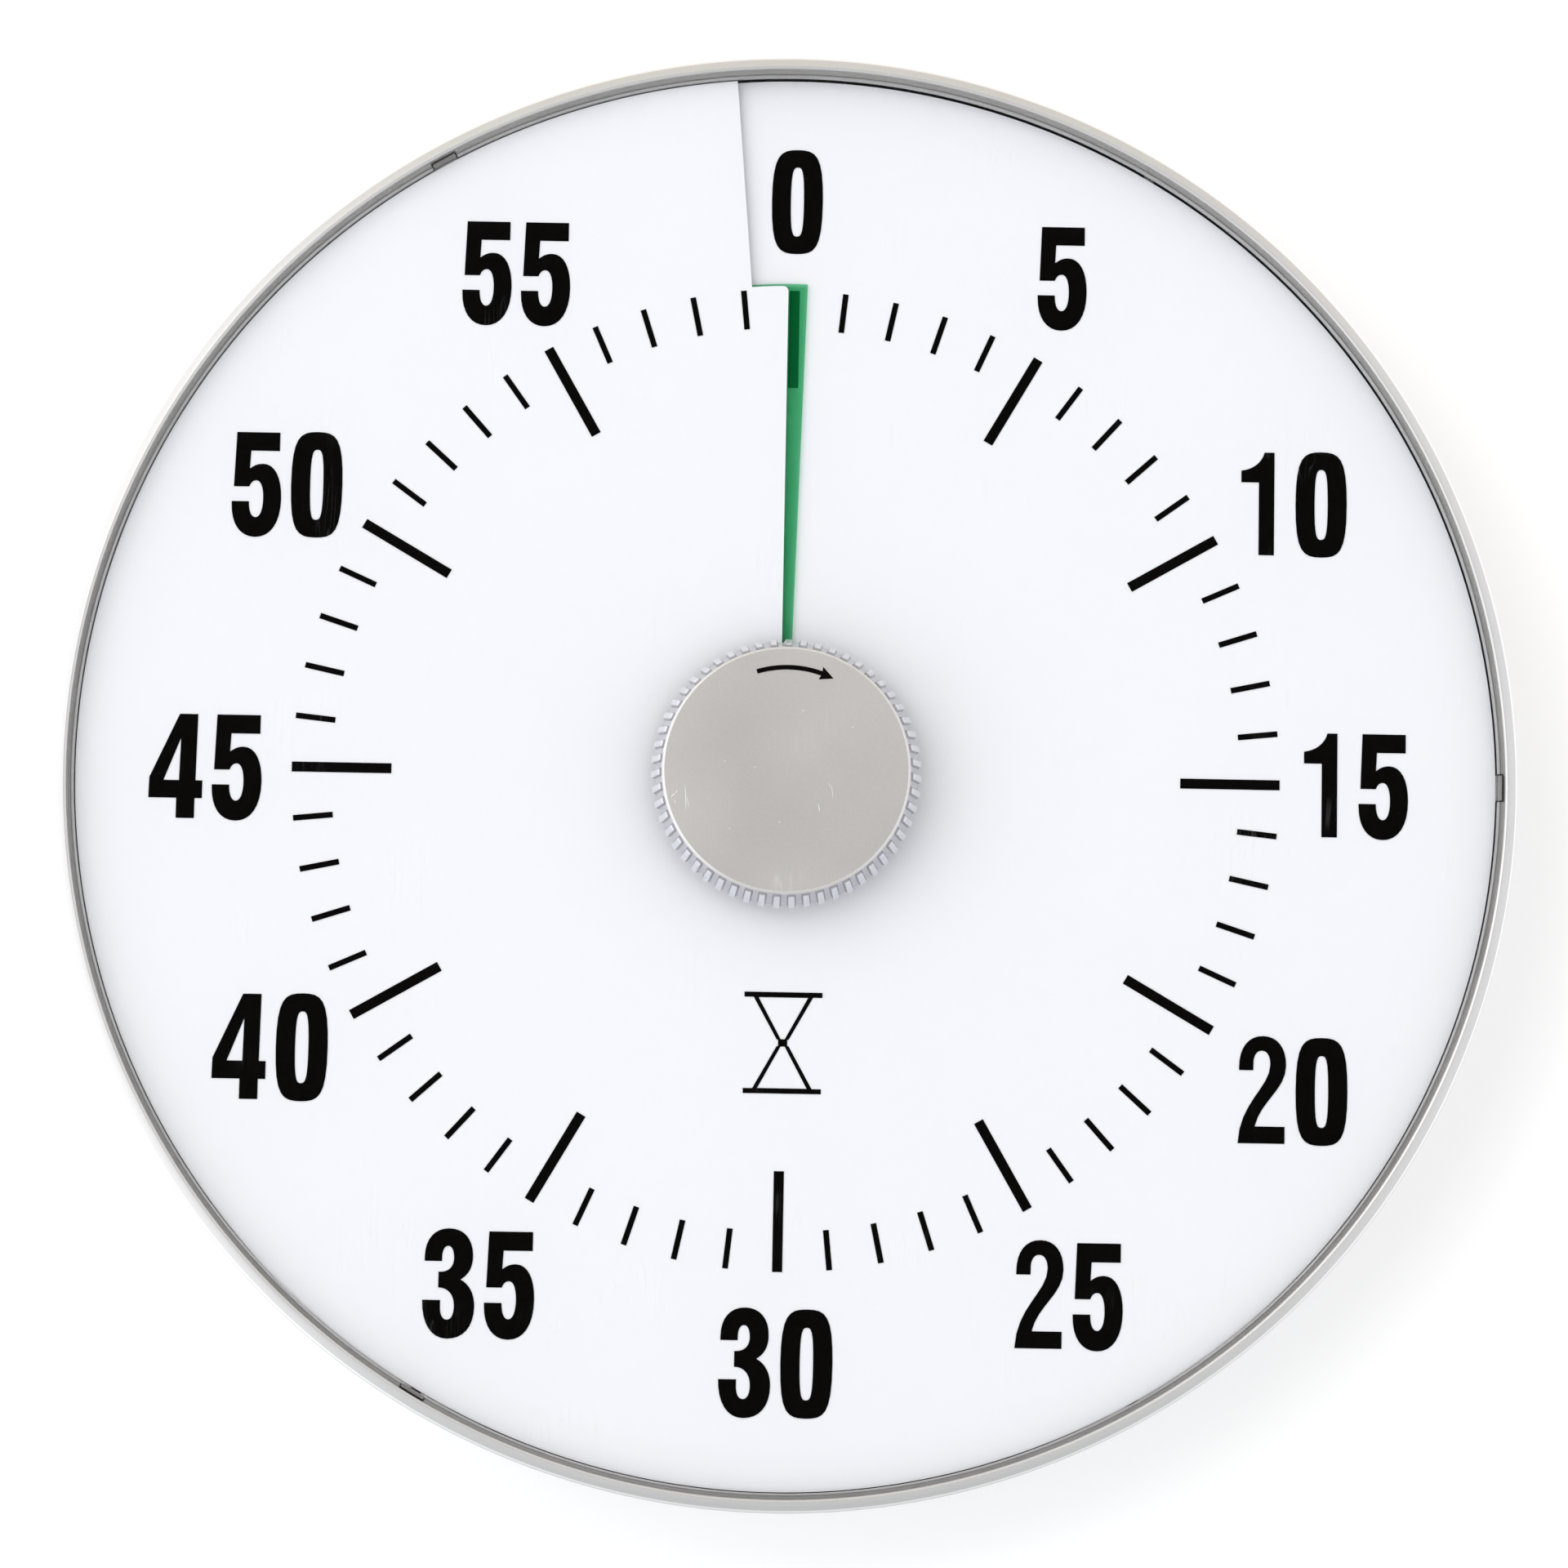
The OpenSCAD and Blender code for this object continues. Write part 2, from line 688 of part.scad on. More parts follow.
module knob_ribs() {
    intersection() {
        translate([0, 0, knob_z])
            linear_extrude(rib_top - knob_z)
                for (k = [0:rib_count - 1])
                    rotate(360 * k / rib_count)
                        translate([0, -rib_w / 2])
                            square([knob_r + 1, rib_w]);
        rotate_extrude($fn = 180) polygon([
            [15, knob_z], [knob_r - 0.3, knob_z], [knob_r, knob_z + 0.3],
            [knob_neck + rib_h, rib_top], [15, rib_top]
        ]);
    }
}

module knob_body() {
    color(silver) face_out() difference() {
        union() {
            rotate_extrude($fn = 180) polygon([
                [0, knob_z], [knob_core - 0.3, knob_z], [knob_core, knob_z + 0.3],
                [knob_neck, knob_top - cap_t - 0.5], [knob_neck - 0.3, knob_top - cap_t],
                [0, knob_top - cap_t]
            ]);
            knob_ribs();
        }
        disc(plug_r + 0.3, cap_seat, knob_top);
        disc(seat_r + 0.02, knob_z - 1, knob_top);
        washer(knob_core - 2.5, 9, knob_z - 1, knob_z + 2.6);
        block([-arbor_square / 2 - 0.1, arbor_square / 2 + 0.1],
            [-arbor_square / 2 - 0.1, arbor_square / 2 + 0.1], [knob_z - 1, knob_z + 0.3]);
    }
}

module knob_cap() {
    color(silver) face_out() difference() {
        rotate_extrude($fn = 180) polygon([
            [0, cap_seat], [plug_r, cap_seat], [plug_r, knob_top - cap_t], [cap_r, knob_top - cap_t],
            [cap_r, knob_top - 0.46], [cap_r - 0.46, knob_top], [0, knob_top]
        ]);
        disc(6, cap_seat - 1, cap_seat + 1.1);
    }
}

// The printed arrow on the cap, as clockwise angles of its tail, its head's base and its point
arrow_r = 22.4;
arrow_tail = -17;
arrow_neck = 20.4;
arrow_tip = 27.6;
function on_ring(r, a) = r * [sin(a), cos(a)];

module knob_arrow() {
    steps = 14;
    turn = (arrow_neck + 0.6 - arrow_tail) / steps;
    color(black) face_out()
        translate([0, 0, knob_top])
            linear_extrude(ink_t) {
                polygon([
                    for (k = [0:steps]) on_ring(arrow_r + 0.5, arrow_tail + turn * k),
                    for (k = [steps:-1:0]) on_ring(arrow_r - 0.5, arrow_tail + turn * k)
                ]);
                polygon([
                    on_ring(arrow_r + 1.35, arrow_neck),
                    on_ring(arrow_r - 1.35, arrow_neck),
                    on_ring(arrow_r - 0.1, arrow_tip)
                ]);
            }
}

module knob_screw() {
    color(steel) face_out() difference() {
        union() {
            disc(1.2, knob_z - 4, cap_seat);
            disc(5, cap_seat, cap_seat + 1);
        }
        block([-0.35, 0.35], [-4, 4], [cap_seat + 0.5, cap_seat + 2]);
        block([-4, 4], [-0.35, 0.35], [cap_seat + 0.5, cap_seat + 2]);
    }
}

// A stepped cam on the arbor closes the buzzer contact when the scale is back at zero
module zero_cam() {
    color(white) face_out() difference() {
        union() {
            disc(6.8, 12.65, 13.55);
            at_angle(-45)
                block([-2.4, 2.4], [4, 8.4], [12.65, 13.55]);
        }
        disc(arbor_r, 12, 14);
    }
}

// ---- Movement ----

module shell_posts(z0, z1) {
    for (p = corner_screws)
        translate([p[0], p[1], z0])
            cylinder(r = 3, h = z1 - z0);
}

module shell_screw_holes(z0, z1) {
    for (p = corner_screws)
        translate([p[0], p[1], z0])
            cylinder(r = 1.25, h = z1 - z0);
}

module movement_front() {
    color(black) face_out() difference() {
        union() {
            difference() {
                block([-case_x, case_x], case_y, [mv_split, mv_front]);
                block([-case_x + 1.4, case_x - 1.4], [case_y[0] + 1.4, case_y[1] - 1.4],
                    [mv_split - 1, mv_front - shell_t]);
            }
            shell_posts(mv_split, mv_front);
            disc(8, mv_front - shell_t, 24.0);
        }
        disc(arbor_bore, mv_split, 25);
        shell_screw_holes(mv_split - 1, mv_front + 1);
    }
}

module movement_back() {
    color(black) face_out() difference() {
        union() {
            difference() {
                block([-case_x, case_x], case_y, [mv_back, mv_split]);
                block([-case_x + 1.4, case_x - 1.4], [case_y[0] + 1.4, case_y[1] - 1.4],
                    [mv_back + shell_t, mv_split + 1]);
            }
            shell_posts(mv_back, mv_split);
        }
        block([-case_x - 1, -case_x + 2], [3, 21], [8.4, 11.2]);
        shell_screw_holes(mv_back - 1, mv_split + 1);
    }
}

module movement_screws() {
    color(steel) face_out() for (p = corner_screws) translate([p[0], p[1], 0]) difference() {
        union() {
            disc(2.4, mv_back - 1.4, mv_back);
            disc(1.1, mv_back, 23.4);
        }
        block([-2, 2], [-0.3, 0.3], [mv_back - 2, mv_back - 0.8]);
    }
}

// Involute tooth: half its angle at radius r
function involute(phi) = tan(phi) - phi * PI / 180;
function half_angle(n, m, fill, r) =
    let (rp = m * n / 2, rb = rp * cos(20))
    fill * 180 / n + (involute(20) - involute(acos(min(1, rb / max(r, rb))))) * 180 / PI;

function gear_points(n, m, add, ded, fill, phase) =
    let (rp = m * n / 2,
         rb = rp * cos(20),
         root = rp - ded * m,
         tip = rp + add * m,
         radii = root < rb ? [root, rb, (rb + tip) / 2, tip] : [root, (root + tip) / 2, tip],
         k = len(radii))
    [for (tooth = [0:n - 1]) let (mid = phase + 360 * tooth / n) each concat(
        [for (i = [0:k - 1]) let (a = mid - half_angle(n, m, fill, radii[i]))
            radii[i] * [cos(a), sin(a)]],
        [for (i = [k - 1:-1:0]) let (a = mid + half_angle(n, m, fill, radii[i]))
            radii[i] * [cos(a), sin(a)]]
    )];

// Phase that puts gear 2 in mesh with gear 1, where dir points from gear 1 to gear 2
function mesh_phase(n1, phase1, n2, dir) =
    dir + 180 - (0.5 - (dir - phase1) * n1 / 360) * 360 / n2;

module gear(n, m, z0, z1, phase = 0, wheel = true) {
    translate([0, 0, z0])
        linear_extrude(z1 - z0)
            polygon(gear_points(n, m, wheel ? 0.6 : 0.85, 1.3, 0.4, phase));
}

phase_a = mesh_phase(friction_teeth, 0, pinion_a_teeth, dir_a);
phase_b = mesh_phase(wheel_a_teeth, 0, pinion_b_teeth, dir_b);
phase_c = mesh_phase(wheel_b_teeth, 0, pinion_c_teeth, dir_c);
phase_rotor = mesh_phase(wheel_c_teeth, 0, rotor_teeth, dir_rotor);

module light_holes(count, ring, r) {
    for (k = [0:count - 1])
        at_angle(360 * k / count)
            translate([0, ring, 0])
                cylinder(r = r, h = mv_front);
}

module friction_wheel() {
    color(brass) face_out() difference() {
        gear(friction_teeth, mod_slow, 16.5, 18);
        disc(arbor_bore, 16, 19);
        light_holes(6, 9.6, 2.4);
    }
}

// A conical spring washer presses the wheel so that the knob can slip in it
module friction_spring() {
    color(steel) face_out()
        rotate_extrude() polygon([
            [4.3, 19.2], [4.3, 19.5], [7.6, 18.4], [7.6, 18.1]
        ]);
}

module wheel_a() {
    color(white) face_out() translate([at_a[0], at_a[1], 0]) difference() {
        union() {
            gear(wheel_a_teeth, mod_fast, 13.8, 15.0);
            gear(pinion_a_teeth, mod_slow, 14.9, 18.3, phase_a, false);
        }
        disc(pin_bore, 13, 19);
        light_holes(5, 7.2, 2.6);
    }
}

module wheel_b() {
    color(white) face_out() translate([at_b[0], at_b[1], 0]) difference() {
        union() {
            gear(wheel_b_teeth, mod_fast, 11.2, 12.4);
            gear(pinion_b_teeth, mod_fast, 12.3, 15.3, phase_b, false);
        }
        disc(pin_bore, 11, 16);
        light_holes(5, 5.4, 1.8);
    }
}

module wheel_c() {
    color(white) face_out() translate([at_c[0], at_c[1], 0]) difference() {
        union() {
            gear(wheel_c_teeth, mod_fast, 9.0, 10.0);
            gear(pinion_c_teeth, mod_fast, 9.9, 12.7, phase_c, false);
        }
        disc(0.56, 8, 13);
        light_holes(5, 5.4, 1.8);
    }
}

module rotor_pinion() {
    color(white) face_out() translate([at_rotor[0], at_rotor[1], 0]) {
        gear(rotor_teeth, mod_fast, 8.7, 10.4, phase_rotor, false);
        disc(0.4, mv_back + shell_t + 0.2, 8.7);
        disc(0.7, 10.4, 11.0);
        disc(0.4, 13.4, 14.4);
    }
}

module rotor_magnet() {
    color(grey) face_out() translate([at_rotor[0], at_rotor[1], 0]) {
        disc(2.5, 11.0, 13.4);
    }
}

module wheel_pins() {
    color(steel) face_out() {
        for (p = [at_a, at_b])
            translate([p[0], p[1], 0])
                disc(pin_r, mv_back + shell_t, mv_front - shell_t);
        translate([at_c[0], at_c[1], 0])
            disc(0.5, mv_back + shell_t, mv_front - shell_t);
    }
}

coil_y = 14.5;
coil_z = 11.8;

module stator() {
    color(steel) face_out() difference() {
        block([at_rotor[0] - 6, at_rotor[0] + 8], [at_rotor[1] - 6, coil_y + 3], [11.3, 12.3]);
        translate([at_rotor[0], at_rotor[1], 0])
            disc(3.1, 11, 13);
        block([at_rotor[0] - 2.6, at_rotor[0] + 3.6], [at_rotor[1] + 6, coil_y - 3.4], [11, 13]);
    }
}

module coil_bobbin() {
    color(black) face_out() translate([at_rotor[0] - 7.2, coil_y + 4.2, coil_z])
        difference() {
            union() {
                for (x = [-16, 0])
                    block([x, x + 1], [-3.6, 3.6], [-3.6, 3.6]);
                rod_x(1.6, -15, 0);
            }
            rod_x(0.9, -17, 2);
        }
}

module coil_winding() {
    color([0.72, 0.38, 0.18]) face_out() translate([at_rotor[0] - 7.2, coil_y + 4.2, coil_z])
        difference() {
            rod_x(3.2, -14.9, -0.1);
            rod_x(1.65, -16, 1);
        }
}

board_x = [-26, -9];
board_y = [0, 20];

module circuit_board() {
    color([0.10, 0.35, 0.18]) face_out() difference() {
        block(board_x, board_y, [9, 10]);
        translate([-24, 18, 0])
            disc(0.8, 8, 11);
    }
}

module crystal() {
    color(steel) face_out() translate([-22, 2.2, 11.05])
        rod_x(1.0, 0, 6);
}

module chip_blob() {
    color(black) face_out() translate([-16, 12, 10])
        intersection() {
            translate([0, 0, -3.2])
                sphere(r = 4.6);
            disc(5, 0, 2);
        }
}

module capacitor() {
    color(black) face_out() translate([-23.2, 13, 10])
        disc(1.8, 0, 2.8);
}

module contact_leaf() {
    color(brass) face_out() {
        block([-12.6, -12.3], [3, 14], [12.4, 13.3]);
        block([-12.6, -11.4], [12, 14], [10, 12.4]);
        block([-12.6, -12.3], [-1, 3], [12.75, 13.3]);
    }
}

// ---- Buzzer, switch, battery ----

module buzzer_ring() {
    color(black) face_out() translate([buzzer_at[0], buzzer_at[1], 0])
        washer(13.5, 11.8, cover_t, 5.2);
}

module buzzer_disc() {
    color(brass) face_out() translate([buzzer_at[0], buzzer_at[1], 0]) {
        disc(13.5, 5.2, 5.45);
        disc(8.5, 5.45, 5.75);
    }
}

module switch_body() {
    color(black) face_out() translate([switch_at[0], switch_at[1], 0]) difference() {
        block([-7, 7], [-3.6, 3.6], [cover_t, 7.6]);
        block([-(switch_travel + nub[0]) / 2 - 0.3, (switch_travel + nub[0]) / 2 + 0.3],
            [-nub[1] / 2 - 0.3, nub[1] / 2 + 0.3], [cover_t - 1, 4.8]);
    }
}

module switch_slider() {
    color(white) face_out() translate([switch_at[0] - switch_travel / 2, switch_at[1], 0])
        difference() {
            block([-nub[0] / 2, nub[0] / 2], [-nub[1] / 2, nub[1] / 2], [0.4, 4.5]);
            for (x = [-0.9, 0, 0.9])
                block([x - 0.15, x + 0.15], [-2, 2], [0, 0.7]);
        }
}

module battery() {
    color([0.25, 0.27, 0.30]) face_out() translate([0, cell_y, cell_z]) {
        rod_x(cell_r, -24.0, 25.0);
        rod_x(2.7, 25.0, 26.1);
    }
}

spring_turns = 3.5;

module battery_spring() {
    color(steel) face_out() translate([0, cell_y, cell_z]) {
        block([-29.5, -29.1], [-5.5, tab_y], [-5.5, 5.5]);
        block([-29.5, lead_x[0] + 0.8], [tab_y - 0.4, tab_y], [-1, 1]);
        wire([
            for (i = [0:42]) let (a = 360 * spring_turns * i / 42, r = 5 - 2.4 * i / 42)
                [-28.85 + 4.55 * i / 42, r * cos(a), r * sin(a)]
        ], 0.25, [1, 0, 0], 6);
    }
}

module battery_plate() {
    color(steel) face_out() translate([0, cell_y, cell_z])
        block([26.1, 26.5], [-5.5, tab_y], [-5.5, 5.5]);
}

module magnets() {
    color(steel) face_out() for (a = magnet_angles) at_angle(a)
        translate([0, magnet_ring, 0.15])
            cylinder(r = magnet_r, h = 2.8);
}

// ---- Fasteners ----

module case_screws() {
    color(steel) face_out() for (a = boss_angles) at_angle(a) translate([0, boss_ring, 0])
        difference() {
            union() {
                disc(3.0, 0.2, 1.2);
                disc(screw_hole - 0.05, 1.2, 10);
            }
            block([-0.35, 0.35], [-2.2, 2.2], [0, 0.75]);
            block([-2.2, 2.2], [-0.35, 0.35], [0, 0.75]);
        }
}

module plate_screws() {
    color(steel) face_out() for (a = boss_angles) at_angle(a) translate([0, boss_ring, 0]) {
        disc(3.0, 23.1, 24.2);
        disc(screw_hole - 0.05, 15, 23.1);
    }
}

// ---- Leads, held in the case between soldered ends ----

lead_r = 0.6;
lead_z = 9.7;

module battery_leads() {
    start_y = cell_y + tab_y;
    color([0.75, 0.08, 0.06]) face_out() {
        wire(bend([[lead_x[1], start_y, cell_z], [lead_x[1], -48, cell_z], [22, -41, lead_z],
            [-30, -41, lead_z], [-37.5, -34, lead_z], [-37.5, 0, lead_z], [-32, 5, lead_z],
            [-26, 5, lead_z]], 3), lead_r, [0, 0, 1]);
        wire(bend([[lead_x[0], start_y, cell_z], [lead_x[0], -52, cell_z], [-41, -38, lead_z],
            [-41, 3, lead_z], [-33, 8.5, lead_z], [-26, 8.5, lead_z]], 3), lead_r, [0, 0, 1]);
    }
}

module buzzer_leads() {
    color(black) face_out() for (k = [0, 1])
        wire(bend([[buzzer_at[0] + 7, buzzer_at[1] + 3 * k, 6.4],
            [buzzer_at[0] + 15, buzzer_at[1] + 3 * k, 6.4], [-38, 11.4 + 2.4 * k, lead_z],
            [-32, 11.4 + 2.4 * k, lead_z], [-26, 11.4 + 2.4 * k, lead_z]], 3),
            lead_r, [0, 0, 1]);
}

module switch_leads() {
    color([0.9, 0.9, 0.92]) face_out() for (k = [0, 1])
        wire(bend([[switch_at[0] + 7, switch_at[1] - 1.6 + 3.2 * k, 6.4],
            [switch_at[0] + 13 + 3 * k, switch_at[1] - 1.6 + 3.2 * k, 6.4],
            [-37 + 1.6 * k, 16.4 + 2.4 * k, lead_z], [-31, 16.4 + 2.4 * k, lead_z],
            [-26, 16.4 + 2.4 * k, lead_z]], 3), lead_r, [0, 0, 1]);
}

// ---- Nodes ----

front_case();
back_cover();
lens();
dial_plate();
dial_sheet();
scale_ticks();
scale_numerals();
dial_mark();
colour_foil();
foil_hub();
foil_ring();
arbor();
knob_body();
knob_cap();
knob_arrow();
knob_screw();
zero_cam();
movement_front();
movement_back();
movement_screws();
friction_wheel();
friction_spring();
wheel_a();
wheel_b();
wheel_c();
rotor_pinion();
rotor_magnet();
wheel_pins();
stator();
coil_bobbin();
coil_winding();
circuit_board();
crystal();
chip_blob();
capacitor();
contact_leaf();
buzzer_ring();
buzzer_disc();
battery();
battery_spring();
battery_plate();
battery_door();
switch_body();
switch_slider();
magnets();
case_screws();
plate_screws();
battery_leads();
buzzer_leads();
switch_leads();
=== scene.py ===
import json
from math import asin, cos, degrees, pi, radians, sin

import bmesh
import bpy
from mathutils import Matrix, Vector


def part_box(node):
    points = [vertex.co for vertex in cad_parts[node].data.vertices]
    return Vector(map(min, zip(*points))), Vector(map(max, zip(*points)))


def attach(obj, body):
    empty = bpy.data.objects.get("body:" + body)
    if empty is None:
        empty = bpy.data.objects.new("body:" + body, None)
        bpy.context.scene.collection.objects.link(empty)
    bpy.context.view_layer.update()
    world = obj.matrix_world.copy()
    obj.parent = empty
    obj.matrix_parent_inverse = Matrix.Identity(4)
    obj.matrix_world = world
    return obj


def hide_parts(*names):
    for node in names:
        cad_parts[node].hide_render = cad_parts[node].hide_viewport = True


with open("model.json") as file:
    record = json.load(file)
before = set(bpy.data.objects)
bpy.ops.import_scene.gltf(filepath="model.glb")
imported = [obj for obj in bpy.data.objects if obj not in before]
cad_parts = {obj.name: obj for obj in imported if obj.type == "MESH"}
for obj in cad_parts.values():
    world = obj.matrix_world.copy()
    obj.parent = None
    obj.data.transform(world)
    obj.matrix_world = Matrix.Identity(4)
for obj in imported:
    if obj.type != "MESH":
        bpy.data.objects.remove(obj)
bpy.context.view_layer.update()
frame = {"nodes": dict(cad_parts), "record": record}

NODES = frame["nodes"]
MM = 0.001

# ---------------------------------------------------------------------------------------------
# Sizes, in millimetres in the dial's own frame: x right, up, and out from the wall
# ---------------------------------------------------------------------------------------------


def low(node):
    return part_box(node)[0]


def high(node):
    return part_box(node)[1]


CASE_R = high("front_case")[0] / MM
CASE_FRONT = -low("front_case")[1] / MM
BEZEL_R = CASE_R - 3.0       # the bezel's opening
LEDGE_R = BEZEL_R - 1.3      # the ledge that the lens rests on
LEDGE_OUT = 29.9
WALL_R = CASE_R - 2.8        # the case wall's inside
WALL_OUT = 26.8              # where the ledge runs into it
BACK_OUT = 0.4               # the case's back edge
COVER_T = 2.4                # the back cover
HOOKS = (-30, 90, 210)       # clockwise angles of the lens hooks
HOOK_W = 6.2
BOSSES = (30, 90, 150, 210, 270, 330)
BOSS_RING = CASE_R - 12
BOSS_R = 4.5
BOSS_HOLE_R = 1.5
BOSS_TOP = 21.9

DIAL_LOW = 26.0              # the middle of the sheet at the zero
SHEET_T = 0.6
PITCH = 2.0                  # climb of the sheet and the foil in a turn
SLIT_R = 108.9
SLIT_ANGLE = 5.0             # sweep of the short arc slit
SLIT_OFFSET = 1.43           # the straight slit runs beside the radius by this much
SLIT_CORNER = 1.2
FOIL_R = 109.6
FOIL_T = 0.3
FOIL_LIFT = 1.0              # the foil over the middle of the sheet
FOIL_SWEEP = 357             # degrees, from its first edge to its leading one
FOIL_LEAD = 1.5
FOIL_FIRST = FOIL_LEAD - FOIL_SWEEP

KNOB_BASE = 32.0
KNOB_FOOT = KNOB_BASE + 0.3
KNOB_TOP = -low("knob_cap")[1] / MM
CORE_R = 28.8                # the knob between its ribs, at the foot
NECK_R = 27.1                # the same at the top
BORE_R = 3.52
SQUARE = 4.1                 # half of the square socket
CAP_R = high("knob_cap")[0] / MM
CAP_RIM = KNOB_TOP - 1.0
CAP_SEAT = KNOB_TOP - 2.3
PLUG_R = CAP_R - 2.5
RIBS = 55
RIB_H = 0.7
RIB_W = 1.65
RIB_TOP = KNOB_TOP - 1.2
RIB_END = 0.12               # the ribs' rounded end below that
INK_T = 0.1


def place(x, up, out):
    """A point of the dial's own frame, in millimetres, as metres in the row frame."""
    return Vector((x * MM, -out * MM, up * MM))


def polar(r, clock, out):
    """The same for a radius and a clockwise angle in degrees."""
    a = radians(clock)
    return place(r * sin(a), r * cos(a), out)


# ---------------------------------------------------------------------------------------------
# Camera, light and backdrop
# ---------------------------------------------------------------------------------------------

CAMERA_DISTANCE = 1117.3     # from the middle of the dial
CAMERA_TILT = 6.256          # looks up at the dial by this much
CAMERA_YAW = 0.348
CAMERA_ROLL = 1.041          # the timer hangs turned clockwise by this much
CAMERA_LENS = 116.98
AIM = (-0.42, -1.64)         # what the middle of the picture falls on
SENSOR = 36.0
NEAREST = 0.05               # metres

TENT = (1.25, 1.25, 1.25)    # the world's light where no side adds to it
TENT_SIDES = (               # axis, against it, from and to how far along it, added light
    ("X", True, 0.35, 0.95, (0.9, 0.92, 0.96)),
    ("X", False, 0.45, 0.95, (0.22, 0.22, 0.26)),
    ("Z", False, 0.30, 0.95, (0.0, -0.06, -0.16)),
    ("Z", True, 0.25, 0.95, (-0.30, -0.28, -0.26)),
)
CARD_TOWARD = (0.0, -0.994, 0.11)
CARD_EDGE = (0.955, 0.972)   # cosines of its soft edge
BACKDROP_HALF = 3.0
BACKDROP_BEHIND = 0.0004
BACKDROP_WHITE = (0.93, 0.93, 0.93, 1)


def show(name, data):
    """A new object of the scene with this data."""
    made = bpy.data.objects.new(name, data)
    bpy.context.scene.collection.objects.link(made)
    return made


def make_camera():
    data = bpy.data.cameras.new("camera")
    data.lens = CAMERA_LENS
    data.sensor_width = SENSOR
    data.clip_start = NEAREST
    camera = show("camera", data)
    roll, tilt, yaw = radians(CAMERA_ROLL), radians(CAMERA_TILT), radians(CAMERA_YAW)
    right = Vector((cos(roll), 0, sin(roll)))
    up = Vector((-sin(roll), 0, cos(roll)))
    out = Vector((0, -1, 0))
    toward = (-sin(yaw)) * right + (-sin(tilt)) * up + cos(tilt) * cos(yaw) * out
    target = place(AIM[0], AIM[1], DIAL_LOW)
    camera.location = place(0, 0, DIAL_LOW) + toward.normalized() * CAMERA_DISTANCE * MM
    z_axis = (camera.location - target).normalized()
    x_axis = up.cross(z_axis).normalized()
    y_axis = z_axis.cross(x_axis)
    camera.rotation_euler = Matrix((x_axis, y_axis, z_axis)).transposed().to_euler()
    bpy.context.scene.camera = camera


def area_light(name, location, size, power):
    """A square lamp that faces the middle of the timer's back."""
    data = bpy.data.lights.new(name, "AREA")
    data.shape = "RECTANGLE"
    data.size = data.size_y = size
    data.energy = power
    lamp = show(name, data)
    lamp.location = location
    lamp.rotation_euler = (-Vector(location)).to_track_quat("-Z", "Y").to_euler()


def make_world():
    """A soft light tent: brightest at the left, warm above, dimmest below, with a black card
    where the lens would mirror the camera."""
    world = bpy.data.worlds.new("tent")
    world.use_nodes = True
    bpy.context.scene.world = world
    tree = world.node_tree
    tree.nodes.clear()
    out = tree.nodes.new("ShaderNodeOutputWorld")
    back = tree.nodes.new("ShaderNodeBackground")
    coord = tree.nodes.new("ShaderNodeTexCoord")
    split = tree.nodes.new("ShaderNodeSeparateXYZ")
    tree.links.new(coord.outputs["Generated"], split.inputs[0])

    def side(axis, invert, start, end, colour):
        """colour times how far the direction points along the axis, between start and end."""
        ramp = tree.nodes.new("ShaderNodeMapRange")
        ramp.interpolation_type = "SMOOTHSTEP"
        ramp.inputs["From Min"].default_value = -start if invert else start
        ramp.inputs["From Max"].default_value = -end if invert else end
        tree.links.new(split.outputs[axis], ramp.inputs["Value"])
        scale = tree.nodes.new("ShaderNodeVectorMath")
        scale.operation = "SCALE"
        scale.inputs[0].default_value = colour
        tree.links.new(ramp.outputs[0], scale.inputs["Scale"])
        return scale.outputs[0]

    total = None
    for one in TENT_SIDES:
        term = side(*one)
        add = tree.nodes.new("ShaderNodeVectorMath")
        add.operation = "ADD"
        tree.links.new(term, add.inputs[0])
        if total is None:
            add.inputs[1].default_value = TENT
        else:
            tree.links.new(total, add.inputs[1])
        total = add.outputs[0]
    aside = tree.nodes.new("ShaderNodeVectorMath")
    aside.operation = "DOT_PRODUCT"
    aside.inputs[1].default_value = CARD_TOWARD
    tree.links.new(coord.outputs["Generated"], aside.inputs[0])
    card = tree.nodes.new("ShaderNodeMapRange")
    card.interpolation_type = "SMOOTHSTEP"
    card.inputs["From Min"].default_value, card.inputs["From Max"].default_value = CARD_EDGE
    card.inputs["To Min"].default_value = 1.0
    card.inputs["To Max"].default_value = 0.0
    tree.links.new(aside.outputs["Value"], card.inputs["Value"])
    tree.links.new(total, back.inputs["Color"])
    tree.links.new(card.outputs[0], back.inputs["Strength"])
    tree.links.new(back.outputs[0], out.inputs["Surface"])


